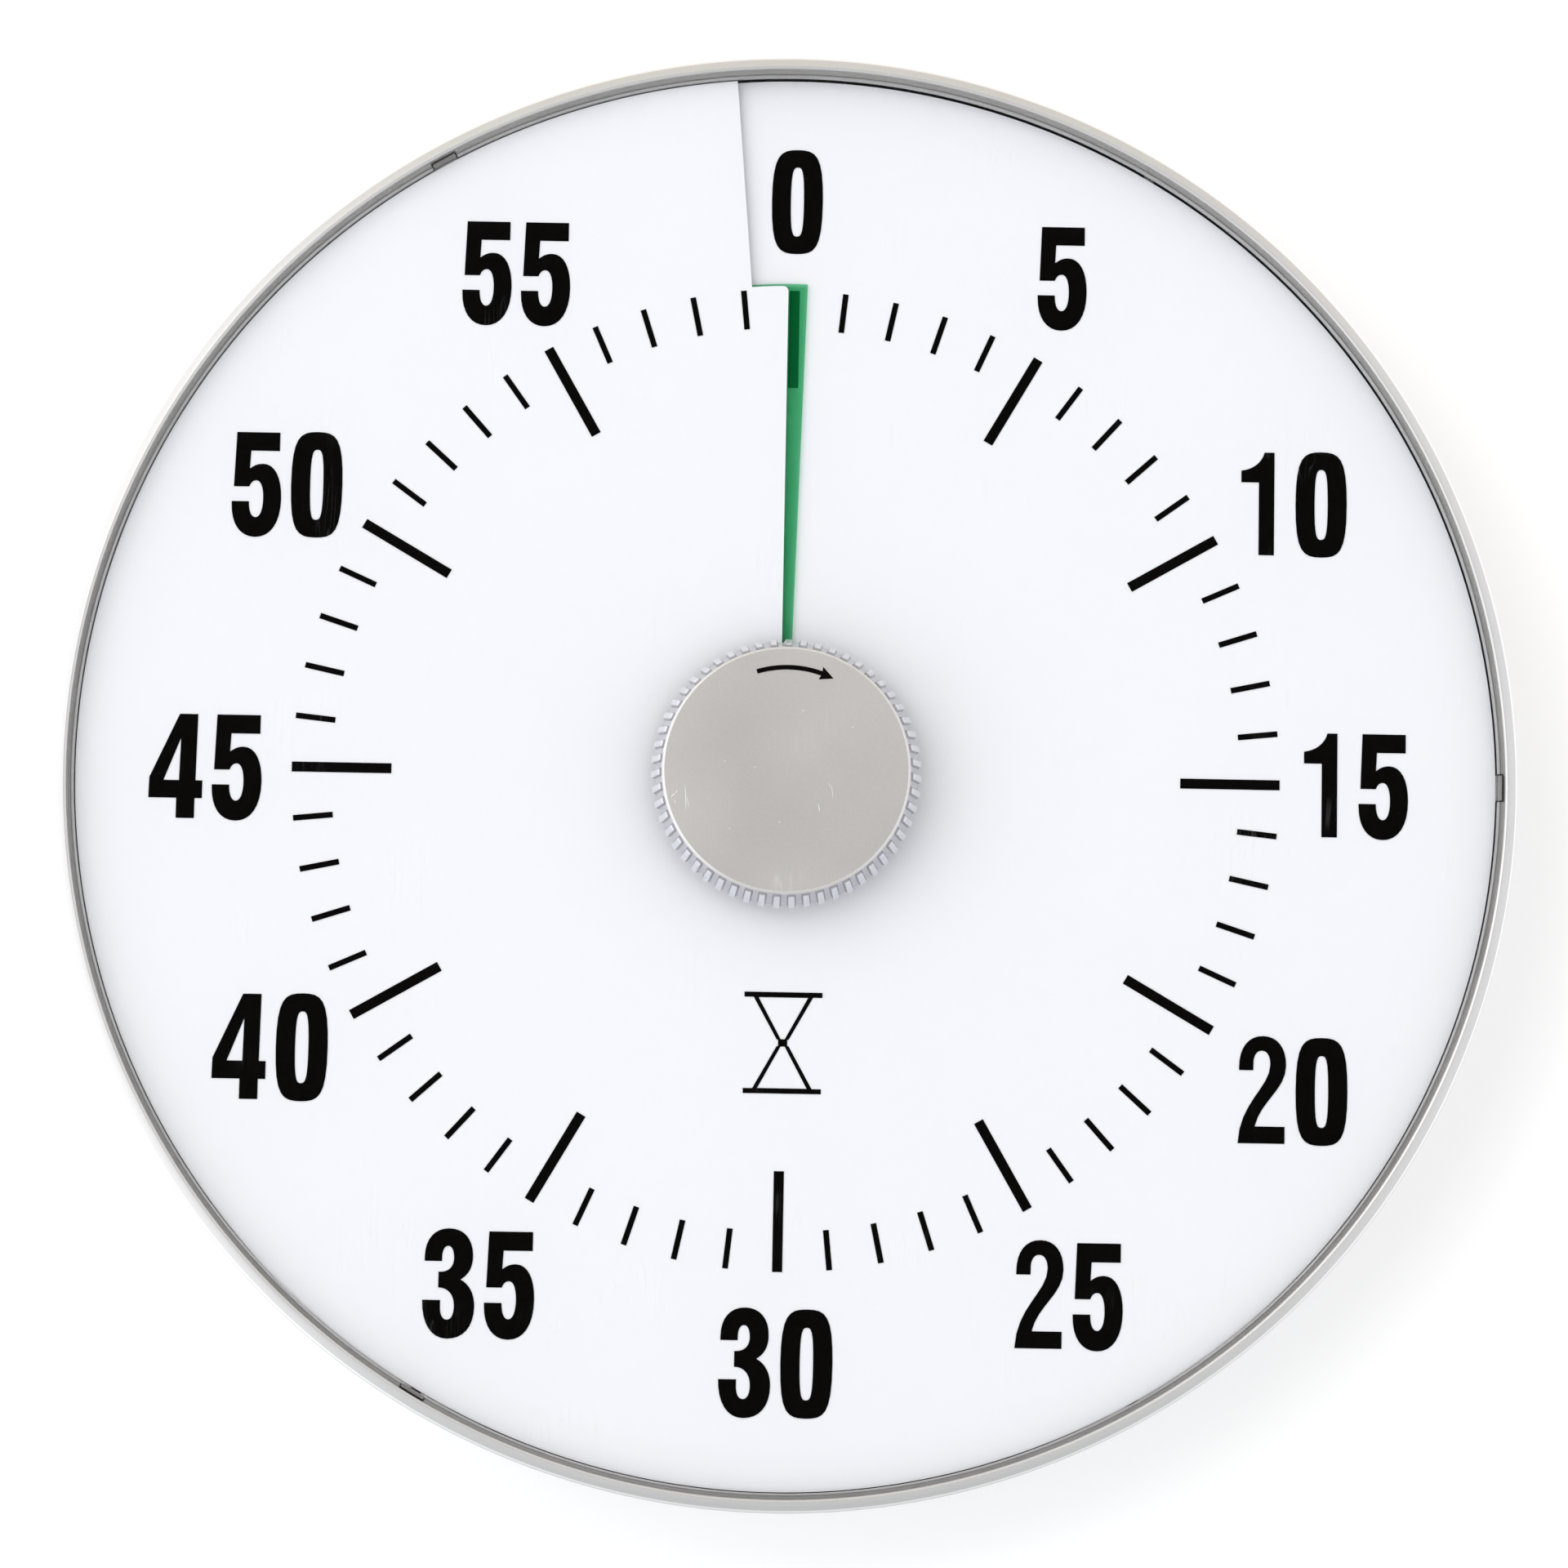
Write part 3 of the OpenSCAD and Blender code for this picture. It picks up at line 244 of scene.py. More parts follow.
def make_stage():
    """Two lamps and a plain white wall just behind the timer. The wall only shows from the front
    and keeps no light away, so that the back can be looked at too."""
    make_world()
    area_light("key", (-0.85, -1.15, 0.7), 1.0, 3.0)
    area_light("back", (0.6, 1.6, 0.8), 1.2, 5.0)
    mesh = bpy.data.meshes.new("wall")
    corners = ((-1, -1), (1, -1), (1, 1), (-1, 1))
    points = [(BACKDROP_HALF * x, BACKDROP_BEHIND, BACKDROP_HALF * z) for x, z in corners]
    mesh.from_pydata(points, [], [(0, 1, 2, 3)])
    wall = show("wall", mesh)
    material = bpy.data.materials.new("wall")
    material.use_nodes = True
    tree = material.node_tree
    tree.nodes.clear()
    out = tree.nodes.new("ShaderNodeOutputMaterial")
    mix = tree.nodes.new("ShaderNodeMixShader")
    white = tree.nodes.new("ShaderNodeBsdfDiffuse")
    white.inputs["Color"].default_value = BACKDROP_WHITE
    clear = tree.nodes.new("ShaderNodeBsdfTransparent")
    geometry = tree.nodes.new("ShaderNodeNewGeometry")
    tree.links.new(geometry.outputs["Backfacing"], mix.inputs[0])
    tree.links.new(white.outputs[0], mix.inputs[1])
    tree.links.new(clear.outputs[0], mix.inputs[2])
    tree.links.new(mix.outputs[0], out.inputs["Surface"])
    mesh.materials.append(material)
    wall.visible_diffuse = False
    wall.visible_glossy = False
    wall.visible_shadow = False


# ---------------------------------------------------------------------------------------------
# Materials
# ---------------------------------------------------------------------------------------------


GRAIN = 0.000003             # depth of the finest bumps, in metres
HAIR = -0.000006             # and of a hairline scratch


def between(colour, spread):
    """The colour that much darker and that much lighter."""
    return (tuple(c * (1 - spread) for c in colour),
            tuple(min(1.0, c * (1 + spread)) for c in colour))


class Paint:
    """A material under construction: a Principled shader and helpers that feed it."""

    def __init__(self, name):
        self.material = bpy.data.materials.new(name)
        self.material.use_nodes = True
        self.tree = self.material.node_tree
        self.tree.nodes.clear()
        self.out = self.node("ShaderNodeOutputMaterial")
        self.shader = self.node("ShaderNodeBsdfPrincipled")
        self.link(self.shader.outputs[0], self.out.inputs["Surface"])
        self.coord = self.node("ShaderNodeTexCoord").outputs["Object"]

    def node(self, kind, **attributes):
        made = self.tree.nodes.new(kind)
        for key, value in attributes.items():
            setattr(made, key, value)
        return made

    def link(self, source, target):
        self.tree.links.new(source, target)

    def set(self, **values):
        for key, value in values.items():
            self.shader.inputs[key.replace("_", " ")].default_value = value

    def noise(self, scale, detail=2.0, roughness=0.5, stretch=None):
        """Noise of about `scale` cells per metre, from 0 to 1."""
        made = self.node("ShaderNodeTexNoise")
        made.inputs["Scale"].default_value = scale
        made.inputs["Detail"].default_value = detail
        made.inputs["Roughness"].default_value = roughness
        source = self.coord
        if stretch:
            mapping = self.node("ShaderNodeMapping")
            mapping.inputs["Scale"].default_value = stretch
            self.link(source, mapping.inputs["Vector"])
            source = mapping.outputs[0]
        self.link(source, made.inputs["Vector"])
        return made.outputs["Fac"]

    def cells(self, scale):
        made = self.node("ShaderNodeTexVoronoi")
        made.inputs["Scale"].default_value = scale
        self.link(self.coord, made.inputs["Vector"])
        return made.outputs["Color"]

    def remap(self, value, a, b, c, d):
        made = self.node("ShaderNodeMapRange")
        for key, number in (("From Min", a), ("From Max", b), ("To Min", c), ("To Max", d)):
            made.inputs[key].default_value = number
        self.link(value, made.inputs["Value"])
        return made.outputs[0]

    def vary(self, scale, detail, a, b):
        """Noise spread from a to b."""
        return self.remap(self.noise(scale, detail), 0.3, 0.7, a, b)

    def math(self, operation, a, b=None):
        made = self.node("ShaderNodeMath", operation=operation)
        for socket, value in zip(made.inputs, (a, b)):
            if value is None:
                continue
            if isinstance(value, (int, float)):
                socket.default_value = value
            else:
                self.link(value, socket)
        return made.outputs[0]

    def mix(self, amount, a, b):
        made = self.node("ShaderNodeMix", data_type="RGBA")
        self.link(amount, made.inputs["Factor"])
        for socket, value in ((made.inputs["A"], a), (made.inputs["B"], b)):
            if isinstance(value, (tuple, list)):
                socket.default_value = (*value, 1)
            else:
                self.link(value, socket)
        return made.outputs["Result"]

    def colour(self, value):
        if isinstance(value, (tuple, list)):
            self.shader.inputs["Base Color"].default_value = (*value, 1)
        else:
            self.link(value, self.shader.inputs["Base Color"])

    def rough(self, value):
        self.link(value, self.shader.inputs["Roughness"])

    def bump(self, *layers):
        """Each layer is (height socket, depth in metres)."""
        normal = None
        for height, depth in layers:
            made = self.node("ShaderNodeBump")
            made.inputs["Distance"].default_value = depth
            made.inputs["Strength"].default_value = 1.0
            self.link(height, made.inputs["Height"])
            if normal is not None:
                self.link(normal, made.inputs["Normal"])
            normal = made.outputs[0]
        self.link(normal, self.shader.inputs["Normal"])

    def reach(self):
        """Distance from the knob's axis, in metres."""
        split = self.node("ShaderNodeSeparateXYZ")
        self.link(self.coord, split.inputs[0])
        across = self.math("POWER", split.outputs["X"], 2.0)
        up = self.math("POWER", split.outputs["Z"], 2.0)
        return self.math("SQRT", self.math("ADD", across, up))

    def scratches(self, scale, angle, width=0.012):
        """Thin broken hairlines, 1 on a scratch and 0 elsewhere."""
        turn = self.node("ShaderNodeMapping")
        turn.inputs["Rotation"].default_value = (0, radians(angle), 0)
        turn.inputs["Scale"].default_value = (1.0, 1.0, 0.06)
        self.link(self.coord, turn.inputs["Vector"])
        lines = self.node("ShaderNodeTexNoise")
        lines.inputs["Scale"].default_value = scale
        lines.inputs["Detail"].default_value = 1.0
        self.link(turn.outputs[0], lines.inputs["Vector"])
        near = self.math("ABSOLUTE", self.math("SUBTRACT", lines.outputs["Fac"], 0.5))
        line = self.remap(near, 0.0, width, 1.0, 0.0)
        broken = self.remap(self.noise(45.0), 0.58, 0.66, 0.0, 1.0)
        return self.math("MULTIPLY", line, broken)

    def stroke(self, x, up, lean, length, width=0.09):
        """One fine scratch, 1 along its middle: where it is in millimetres, and how far its top
        leans over clockwise."""
        place_it = self.node("ShaderNodeMapping", vector_type="TEXTURE")
        place_it.inputs["Location"].default_value = (x * MM, 0, up * MM)
        place_it.inputs["Rotation"].default_value = (0, radians(lean), 0)
        self.link(self.coord, place_it.inputs["Vector"])
        split = self.node("ShaderNodeSeparateXYZ")
        self.link(place_it.outputs[0], split.inputs[0])
        along = self.math("ABSOLUTE", split.outputs["Z"])
        bow = self.math("MULTIPLY", self.math("POWER", along, 2.0), 60.0 / length)
        across = self.math("ABSOLUTE", self.math("ADD", split.outputs["X"], bow))
        ends = self.remap(along, 0.0, length * MM / 2, 1.0, 0.0)
        sides = self.remap(across, 0.0, width * MM, 1.0, 0.0)
        strength = self.math("MULTIPLY", self.math("MULTIPLY", ends, sides), 2.6)
        return self.math("MINIMUM", strength, 1.0)

    def blend(self, amount, first, second):
        """A mix shader of two shader outputs, by a number or a socket."""
        both = self.node("ShaderNodeMixShader")
        if isinstance(amount, float):
            both.inputs[0].default_value = amount
        else:
            self.link(amount, both.inputs[0])
        self.link(first, both.inputs[1])
        self.link(second, both.inputs[2])
        return both.outputs[0]


def silver_paint(name, colour, roughness, strokes=(), painted_highlight_radius=None):
    """Satin silver lacquer over moulded plastic: fine flake, soft mottle, a few hairlines, and
    a painted highlight: a bright colour ring at a radius in millimetres, for light along a rounded
    edge."""
    p = Paint(name)
    flake = p.cells(3600.0)
    grey = p.node("ShaderNodeRGBToBW")
    p.link(flake, grey.inputs[0])
    sparkle = p.remap(grey.outputs[0], 0.2, 0.8, -0.02, 0.02)
    mottle = p.vary(60.0, 4.0, -0.015, 0.015)
    shade = p.remap(p.math("ADD", sparkle, mottle), -0.1, 0.1, 0.0, 1.0)
    base = p.mix(shade, *between(colour, 0.10))
    # Painted highlight: a thin pale ring in the colour at the given radius, standing in for light
    # caught on the bezel's rounded outer edge.
    if painted_highlight_radius:
        off = p.math("ABSOLUTE", p.math("SUBTRACT", p.reach(), painted_highlight_radius * MM))
        base = p.mix(p.remap(off, 0.12 * MM, 0.26 * MM, 0.8, 0.0), base, (0.80, 0.79, 0.79))
    hair = p.math("ADD", p.scratches(520.0, 24.0), p.scratches(430.0, -51.0))
    p.set(Metallic=0.72)
    worn = p.vary(22.0, 5.0, roughness - 0.02, roughness + 0.03)
    p.rough(p.math("ADD", worn, p.math("MULTIPLY", hair, 0.05)))
    marks = p.math("MULTIPLY", hair, 0.10)
    for one in strokes:
        marks = p.math("ADD", marks, p.stroke(*one))
    p.colour(p.mix(p.math("MINIMUM", marks, 1.0), base, (0.97, 0.96, 0.95)))
    p.bump((grey.outputs[0], 0.0000015), (p.noise(900.0, 3.0), GRAIN), (hair, HAIR))
    return p.material


def grip_silver(name):
    """The knob's ribbed side: cool silver on the ribs, with painted shade in the gaps between them
    and a painted shadow along their flanks.
    """
    p = Paint(name)
    split = p.node("ShaderNodeSeparateXYZ")
    p.link(p.coord, split.inputs[0])
    # Painted shade: the colour darkens from each rib's top down to the core between the ribs, where
    # shade falls in the gaps.
    core = p.remap(split.outputs["Y"], -(RIB_TOP - RIB_END) * MM, -KNOB_FOOT * MM,
                   NECK_R * MM, CORE_R * MM)
    lift = p.math("SUBTRACT", p.reach(), core)
    shade = p.remap(lift, 0.35 * MM, (RIB_H - 0.05) * MM, 0.0, 1.0)
    mottle = p.vary(400.0, 3.0, -0.08, 0.08)
    tone = p.mix(p.math("ADD", shade, mottle), (0.50, 0.50, 0.53), (0.64, 0.645, 0.68))
    # Painted shadow: a dark band about half way up each rib's flanks.
    painted_flank_shadow = p.remap(p.math("ABSOLUTE", p.math("SUBTRACT", lift, 0.3 * MM)), 0.18 * MM, 0.3 * MM,
                    0.45, 0.0)
    p.colour(p.mix(painted_flank_shadow, tone, (0.13, 0.12, 0.12)))
    p.set(Metallic=0.6)
    p.rough(p.vary(60.0, 3.0, 0.26, 0.34))
    p.bump((p.noise(900.0, 3.0), GRAIN))
    return p.material


def plastic(name, colour, roughness=0.5, grain=1400.0, depth=0.00001, spread=0.05):
    """Moulded plastic: spark-eroded grain, faint mottle in colour and sheen."""
    p = Paint(name)
    p.colour(p.mix(p.vary(35.0, 4.0, 0.0, 1.0), *between(colour, spread)))
    p.rough(p.vary(90.0, 3.0, roughness - 0.06, roughness + 0.06))
    p.bump((p.noise(grain, 3.0), depth))
    return p.material


def cell_print(name):
    """A plain dry cell's shiny jacket: grey green with a pale band, and bare steel at both ends."""
    p = Paint(name)
    split = p.node("ShaderNodeSeparateXYZ")
    p.link(p.coord, split.inputs[0])
    along = split.outputs["X"]
    mottle = p.vary(90.0, 4.0, 0.0, 1.0)
    jacket = p.mix(mottle, (0.055, 0.120, 0.095), (0.065, 0.135, 0.110))
    pale = p.mix(mottle, (0.58, 0.59, 0.58), (0.64, 0.65, 0.64))
    steel = p.mix(mottle, (0.55, 0.55, 0.56), (0.62, 0.62, 0.63))
    banded = p.mix(p.remap(along, 12.9 * MM, 13.1 * MM, 0.0, 1.0), jacket, pale)
    ends = p.math("MAXIMUM", p.remap(along, 24.7 * MM, 24.8 * MM, 0.0, 1.0),
                  p.remap(along, -23.7 * MM, -23.6 * MM, 1.0, 0.0))
    p.colour(p.mix(ends, banded, steel))
    p.link(ends, p.shader.inputs["Metallic"])
    p.rough(p.vary(140.0, 3.0, 0.18, 0.28))
    p.bump((p.noise(1200.0, 2.0), GRAIN))
    return p.material


def metal(name, colour, roughness=0.3, stretch=(1, 1, 1), tarnish=0.12):
    """Bare metal with fine drawn or turned lines and slight tarnish."""
    p = Paint(name)
    stain = p.remap(p.noise(120.0, 5.0), 0.35, 0.75, 0.0, 1.0)
    dull = tuple(c * (1 - tarnish) for c in colour)
    p.colour(p.mix(stain, colour, dull))
    p.set(Metallic=1.0)
    lines = p.noise(1800.0, 2.0, stretch=stretch)
    p.rough(p.remap(lines, 0.3, 0.7, roughness - 0.08, roughness + 0.1))
    p.bump((lines, 0.000005))
    return p.material


def ink(name):
    """Screen-printed black: a thin matt film with pin holes and a faint brown sheen."""
    p = Paint(name)
    pins = p.remap(p.noise(1500.0, 2.0), 0.76, 0.80, 0.0, 1.0)
    p.colour(p.mix(p.math("MULTIPLY", pins, 0.5), (0.0016, 0.0013, 0.0012), (0.05, 0.045, 0.042)))
    p.rough(p.vary(160.0, 3.0, 0.42, 0.55))
    p.bump((p.noise(2200.0, 2.0), 0.000004))
    p.set(Specular_IOR_Level=0.03)
    return p.material


def dial_white(name):
    """Satin white sheet, a touch blue, with a faint unevenness of tone and a fine print grain."""
    p = Paint(name)
    drift = p.vary(9.0, 3.0, 0.0, 1.0)
    p.colour(p.mix(drift, (0.862, 0.874, 0.912), (0.874, 0.886, 0.922)))
    p.rough(p.vary(60.0, 3.0, 0.44, 0.56))
    p.bump((p.noise(2600.0, 2.0), GRAIN), (p.noise(30.0, 2.0), 0.00002))
    p.set(Specular_IOR_Level=0.3)
    return p.material


def foil_green(name):
    """Clear green film: light is tinted each way through, and a little comes back from it."""
    p = Paint(name)
    mottle = p.vary(25.0, 3.0, 0.0, 1.0)
    p.colour(p.mix(mottle, (0.004, 0.62, 0.17), (0.006, 0.68, 0.20)))
    p.rough(p.vary(70.0, 3.0, 0.22, 0.34))
    p.bump((p.noise(18.0, 2.0), 0.00003))
    through = p.node("ShaderNodeBsdfTransparent")
    p.link(p.mix(mottle, (0.535, 0.805, 0.665), (0.55, 0.815, 0.68)), through.inputs["Color"])
    film = p.blend(0.10, through.outputs[0], p.shader.outputs[0])
    p.link(film, p.out.inputs["Surface"])
    return p.material


def clear_lens(name):
    """Clear acrylic: a see-through pane with a glossy skin, faint dust and arc scratches."""
    p = Paint(name)
    p.set(Metallic=0.0)
    p.colour((0.92, 0.95, 0.96))
    dust = p.remap(p.noise(2400.0, 2.0), 0.80, 0.84, 0.0, 1.0)
    wipes = p.math("ADD", p.scratches(300.0, 38.0, 0.006), p.scratches(260.0, -20.0, 0.006))
    p.rough(p.vary(15.0, 3.0, 0.02, 0.07))
    p.bump((wipes, HAIR))
    through = p.node("ShaderNodeBsdfTransparent")
    through.inputs["Color"].default_value = (0.99, 0.99, 0.99, 1)
    skin = p.node("ShaderNodeBsdfGlossy")
    skin.inputs["Roughness"].default_value = 0.03
    facing = p.node("ShaderNodeLayerWeight")
    facing.inputs["Blend"].default_value = 0.5
    grazing = p.math("POWER", facing.outputs["Facing"], 5.0)
    pane = p.blend(p.remap(grazing, 0.0, 1.0, 0.039, 0.9), through.outputs[0], skin.outputs[0])
    dirt = p.math("ADD", p.math("MULTIPLY", dust, 0.12), p.math("MULTIPLY", wipes, 0.02))
    p.link(p.blend(dirt, pane, p.shader.outputs[0]), p.out.inputs["Surface"])
    return p.material


# Scratches on the knob's cap: across and up from its middle, lean, length and half width
KNOB_SCRATCHES = (
    (-21.7, -6.3, -3, 6.4, 0.10), (-21.2, -7.4, -12, 3.0, 0.07), (-24.5, -6.0, 40, 1.4, 0.12),
    (-23.7, -5.2, 15, 0.9, 0.12), (-24.0, -7.4, -25, 0.8, 0.10), (7.2, -8.1, -12, 2.2, 0.12),
    (10.0, -4.5, -8, 3.8, 0.07), (9.4, -3.2, -20, 1.6, 0.06), (3.4, 13.0, 50, 0.6, 0.12),
    (-1.3, -11.4, 60, 0.7, 0.12), (-6.8, 0.5, 20, 0.4, 0.12), (-13.4, 1.7, 0, 0.35, 0.12),
    (14.2, 9.6, 30, 0.5, 0.10), (-12.0, -13.0, -40, 0.5, 0.10),
)


def make_materials():
    return {
        "case_silver": silver_paint("case_silver", (0.50, 0.495, 0.49), 0.34, (), CASE_R - 0.45),
        "knob_silver": silver_paint("knob_silver", (0.62, 0.60, 0.58), 0.36, KNOB_SCRATCHES),
        "grip_silver": grip_silver("grip_silver"),
        "cover_plastic": plastic("cover_plastic", (0.17, 0.175, 0.18), 0.55, 900.0, 0.00003),
        "lens_clear": clear_lens("lens_clear"),
        "dial_white": dial_white("dial_white"),
        "plate_white": plastic("plate_white", (0.72, 0.73, 0.74), 0.5),
        "print_black": ink("print_black"),
        "foil_green": foil_green("foil_green"),
        "clamp_grey": plastic("clamp_grey", (0.22, 0.225, 0.23), 0.5),
        "cell_print": cell_print("cell_print"),
        "pad_grey": plastic("pad_grey", (0.27, 0.26, 0.255), 0.5),
        "brass": metal("brass", (0.72, 0.52, 0.22), 0.28, (1, 0.05, 1)),
        "steel": metal("steel", (0.58, 0.58, 0.59), 0.3, (1, 0.05, 1)),
        "movement_black": plastic("movement_black", (0.022, 0.022, 0.023), 0.42),
        "gear_white": plastic("gear_white", (0.74, 0.74, 0.70), 0.4),
        "magnet": metal("magnet", (0.40, 0.40, 0.42), 0.38, (1, 1, 1), 0.2),
        "copper": metal("copper", (0.70, 0.30, 0.13), 0.3, (0.04, 1, 1)),
        "board_green": plastic("board_green", (0.03, 0.16, 0.07), 0.35, 500.0, 0.00002, 0.15),
        "component_black": plastic("component_black", (0.02, 0.02, 0.02), 0.3),
        "cell_jacket": plastic("cell_jacket", (0.07, 0.075, 0.08), 0.25),
        "lead_red": plastic("lead_red", (0.45, 0.02, 0.015), 0.35),
        "lead_black": plastic("lead_black", (0.02, 0.02, 0.02), 0.35),
        "lead_white": plastic("lead_white", (0.70, 0.70, 0.70), 0.35),
    }


# ---------------------------------------------------------------------------------------------
# Building blocks
# ---------------------------------------------------------------------------------------------


def piece(name, points, faces, slot, body, replaces=(), smooth=30.0, paint=None):
    """A visible piece: the slot it fills, the body it rides, the CAD nodes it stands for, the
    angle over which an edge stays sharp, and its material where that isn't the slot's own."""
    mesh = bpy.data.meshes.new(name)
    mesh.from_pydata(points, [], faces)
    mesh.validate()
    work = bmesh.new()
    work.from_mesh(mesh)
    bmesh.ops.dissolve_degenerate(work, dist=1e-7, edges=work.edges)
    bmesh.ops.recalc_face_normals(work, faces=work.faces)
    work.to_mesh(mesh)
    work.free()
    mesh.materials.append(MATERIALS[paint or slot])
    made = show(name, mesh)
    mesh.shade_smooth()
    mesh.set_sharp_from_angle(angle=radians(smooth))
    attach(made, body)
    if replaces:
        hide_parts(*replaces)


def ring_faces(rings, count, closed=True):
    """Quads between rings of count points each, the last ring joined to the first one."""
    faces = []
    for i in range(rings):
        j = (i + 1) % rings
        for k in range(count if closed else count - 1):
            m = (k + 1) % count
            faces.append((i * count + k, i * count + m, j * count + m, j * count + k))
    return faces


def turned(columns):
    """Points and faces of a ring made of (clockwise angle, closed profile of (radius, out))."""
    points = [polar(r, clock, out) for clock, profile in columns for r, out in profile]
    return points, ring_faces(len(columns), len(columns[0][1]))


def turned_evenly(profile_at, steps):
    """The same from a function of the angle, in equal steps."""
    clocks = [360.0 * i / steps for i in range(steps)]
    return turned([(clock, profile_at(clock)) for clock in clocks])


def spiral(columns, thickness, middle):
    """A sheet on the dial's helicoid, at a height over the zero. A column is a list of (radius,
    angle) or None; neighbouring columns are joined where both have points."""
    points, faces, index = [], [], {}
    for side in (-1, 1):
        for c, column in enumerate(columns):
            for k, point in enumerate(column):
                if point:
                    r, clock = point
                    index[side, c, k] = len(points)
                    out = middle + PITCH * clock / 360.0 + side * thickness / 2
                    points.append(polar(r, clock, out))
    walls = {}
    for c in range(len(columns) - 1):
        for k in range(len(columns[c]) - 1):
            loop = [(c, k), (c, k + 1), (c + 1, k + 1), (c + 1, k)]
            if any(columns[a][b] is None for a, b in loop):
                continue
            faces.append([index[1, a, b] for a, b in loop])
            faces.append([index[-1, a, b] for a, b in reversed(loop)])
            for a, b in zip(loop, loop[1:] + loop[:1]):
                if (b, a) in walls:
                    del walls[b, a]
                else:
                    walls[a, b] = True
    for a, b in walls:
        faces.append([index[1, *b], index[1, *a], index[-1, *a], index[-1, *b]])
    return points, faces


def tube(clock, ring, r_out, r_in, low_out, high_out, steps=48):
    """An upright tube standing at a clockwise angle and a distance from the knob's axis."""
    a = radians(clock)
    centre = (ring * sin(a), ring * cos(a))
    section = ((r_in, low_out), (r_out, low_out), (r_out, high_out), (r_in, high_out))
    points = []
    for i in range(steps):
        b = 2 * pi * i / steps
        for r, out in section:
            points.append(place(centre[0] + r * sin(b), centre[1] + r * cos(b), out))
    return points, ring_faces(steps, len(section))


def spoke(clock, half_width, r_in, r_out, low_out, high_out):
    """A straight radial bar."""
    a = radians(clock)
    points = [
        place(r * sin(a) + side * cos(a), r * cos(a) - side * sin(a), out)
        for r in (r_in, r_out) for side in (-half_width, half_width)
        for out in (low_out, high_out)
    ]
    faces = [
        (0, 1, 3, 2), (4, 6, 7, 5), (0, 4, 5, 1), (2, 3, 7, 6), (1, 5, 7, 3), (0, 2, 6, 4)
    ]
    return points, faces


def joined(*parts):
    """Several (points, faces) lists as one."""
    points, faces = [], []
    for some_points, some_faces in parts:
        base = len(points)
        points += some_points
        faces += [tuple(base + i for i in face) for face in some_faces]
    return points, faces


def rounded(profile, radii, steps=4):
    """The profile with chosen corners rounded: radii maps an index to its radius."""
    result = []
    for i, corner in enumerate(profile):
        if i not in radii:
            result.append(corner)
            continue
        here = Vector(corner)
        before = (Vector(profile[i - 1]) - here).normalized()
        after = (Vector(profile[(i + 1) % len(profile)]) - here).normalized()
        a, b = here + before * radii[i], here + after * radii[i]
        for k in range(steps + 1):
            s = k / steps
            point = a * (1 - s) ** 2 + here * 2 * s * (1 - s) + b * s ** 2
            result.append((point.x, point.y))
    return result


# ---------------------------------------------------------------------------------------------
# Finer versions of the parts that are seen close up
# ---------------------------------------------------------------------------------------------


def make_case():
    """The silver case with a softly rounded bezel, hook windows and screw bosses. Its ring is one
    closed mesh: where a window begins, two columns stand at the same angle."""
    depth = CASE_FRONT
    shell = [
        (WALL_R, BACK_OUT), (CASE_R - 1.6, BACK_OUT), (CASE_R - 0.8, 0.9), (CASE_R - 0.4, 2.4),
        (CASE_R, depth - 2.8), (CASE_R - 0.15, depth - 1.9), (CASE_R - 0.6, depth - 1.3),
        (CASE_R - 1.5, depth - 0.45), (BEZEL_R + 0.5, depth), (BEZEL_R, depth - 0.3),
    ]
    soft = {1: 0.35, 2: 0.3, 4: 0.3, 5: 0.3, 6: 0.25, 7: 0.5, 8: 0.12, 9: 0.06}
    ledge = [
        (BEZEL_R, LEDGE_OUT), (LEDGE_R + 0.62, LEDGE_OUT), (LEDGE_R + 0.6, 29.6),
        (LEDGE_R + 0.46, 29.6), (LEDGE_R + 0.44, LEDGE_OUT), (LEDGE_R + 0.3, LEDGE_OUT),
        (LEDGE_R, 29.55), (LEDGE_R, 28.2), (WALL_R, WALL_OUT),
    ]
    window = [(BEZEL_R, 29.5)] + [(BEZEL_R - 0.05, 29.4 - 0.32 * k) for k in range(7)]
    window.append((WALL_R, WALL_OUT))
    whole, opened = rounded(shell + ledge, soft), rounded(shell + window, soft)
    gap = degrees(asin(HOOK_W / 2 / BEZEL_R))
    between_hooks, across, along = 360 / len(HOOKS), 4, 232
    columns = []
    for clock in HOOKS:
        columns += [(clock - gap + gap * k / across, opened) for k in range(2 * across + 1)]
        columns += [
            (clock + gap + (between_hooks - 2 * gap) * k / along, whole) for k in range(along + 1)
        ]
    parts = [turned(columns)]
    foot = COVER_T + 0.1
    for clock in BOSSES:
        parts.append(tube(clock, BOSS_RING, BOSS_R, BOSS_HOLE_R, foot, BOSS_TOP))
        parts.append(spoke(clock, 1.2, BOSS_RING + 2.5, WALL_R + 0.6, foot, BOSS_TOP))
    piece("case_shell", *joined(*parts), "case_silver", "case", ["front_case"])
    pads = [spoke(a, 2.75, LEDGE_R + 0.2, LEDGE_R + 0.85, 27.2, 29.85) for a in HOOKS]
    piece("hook_pads", *joined(*pads), "clamp_grey", "case", (), 30.0, "pad_grey")


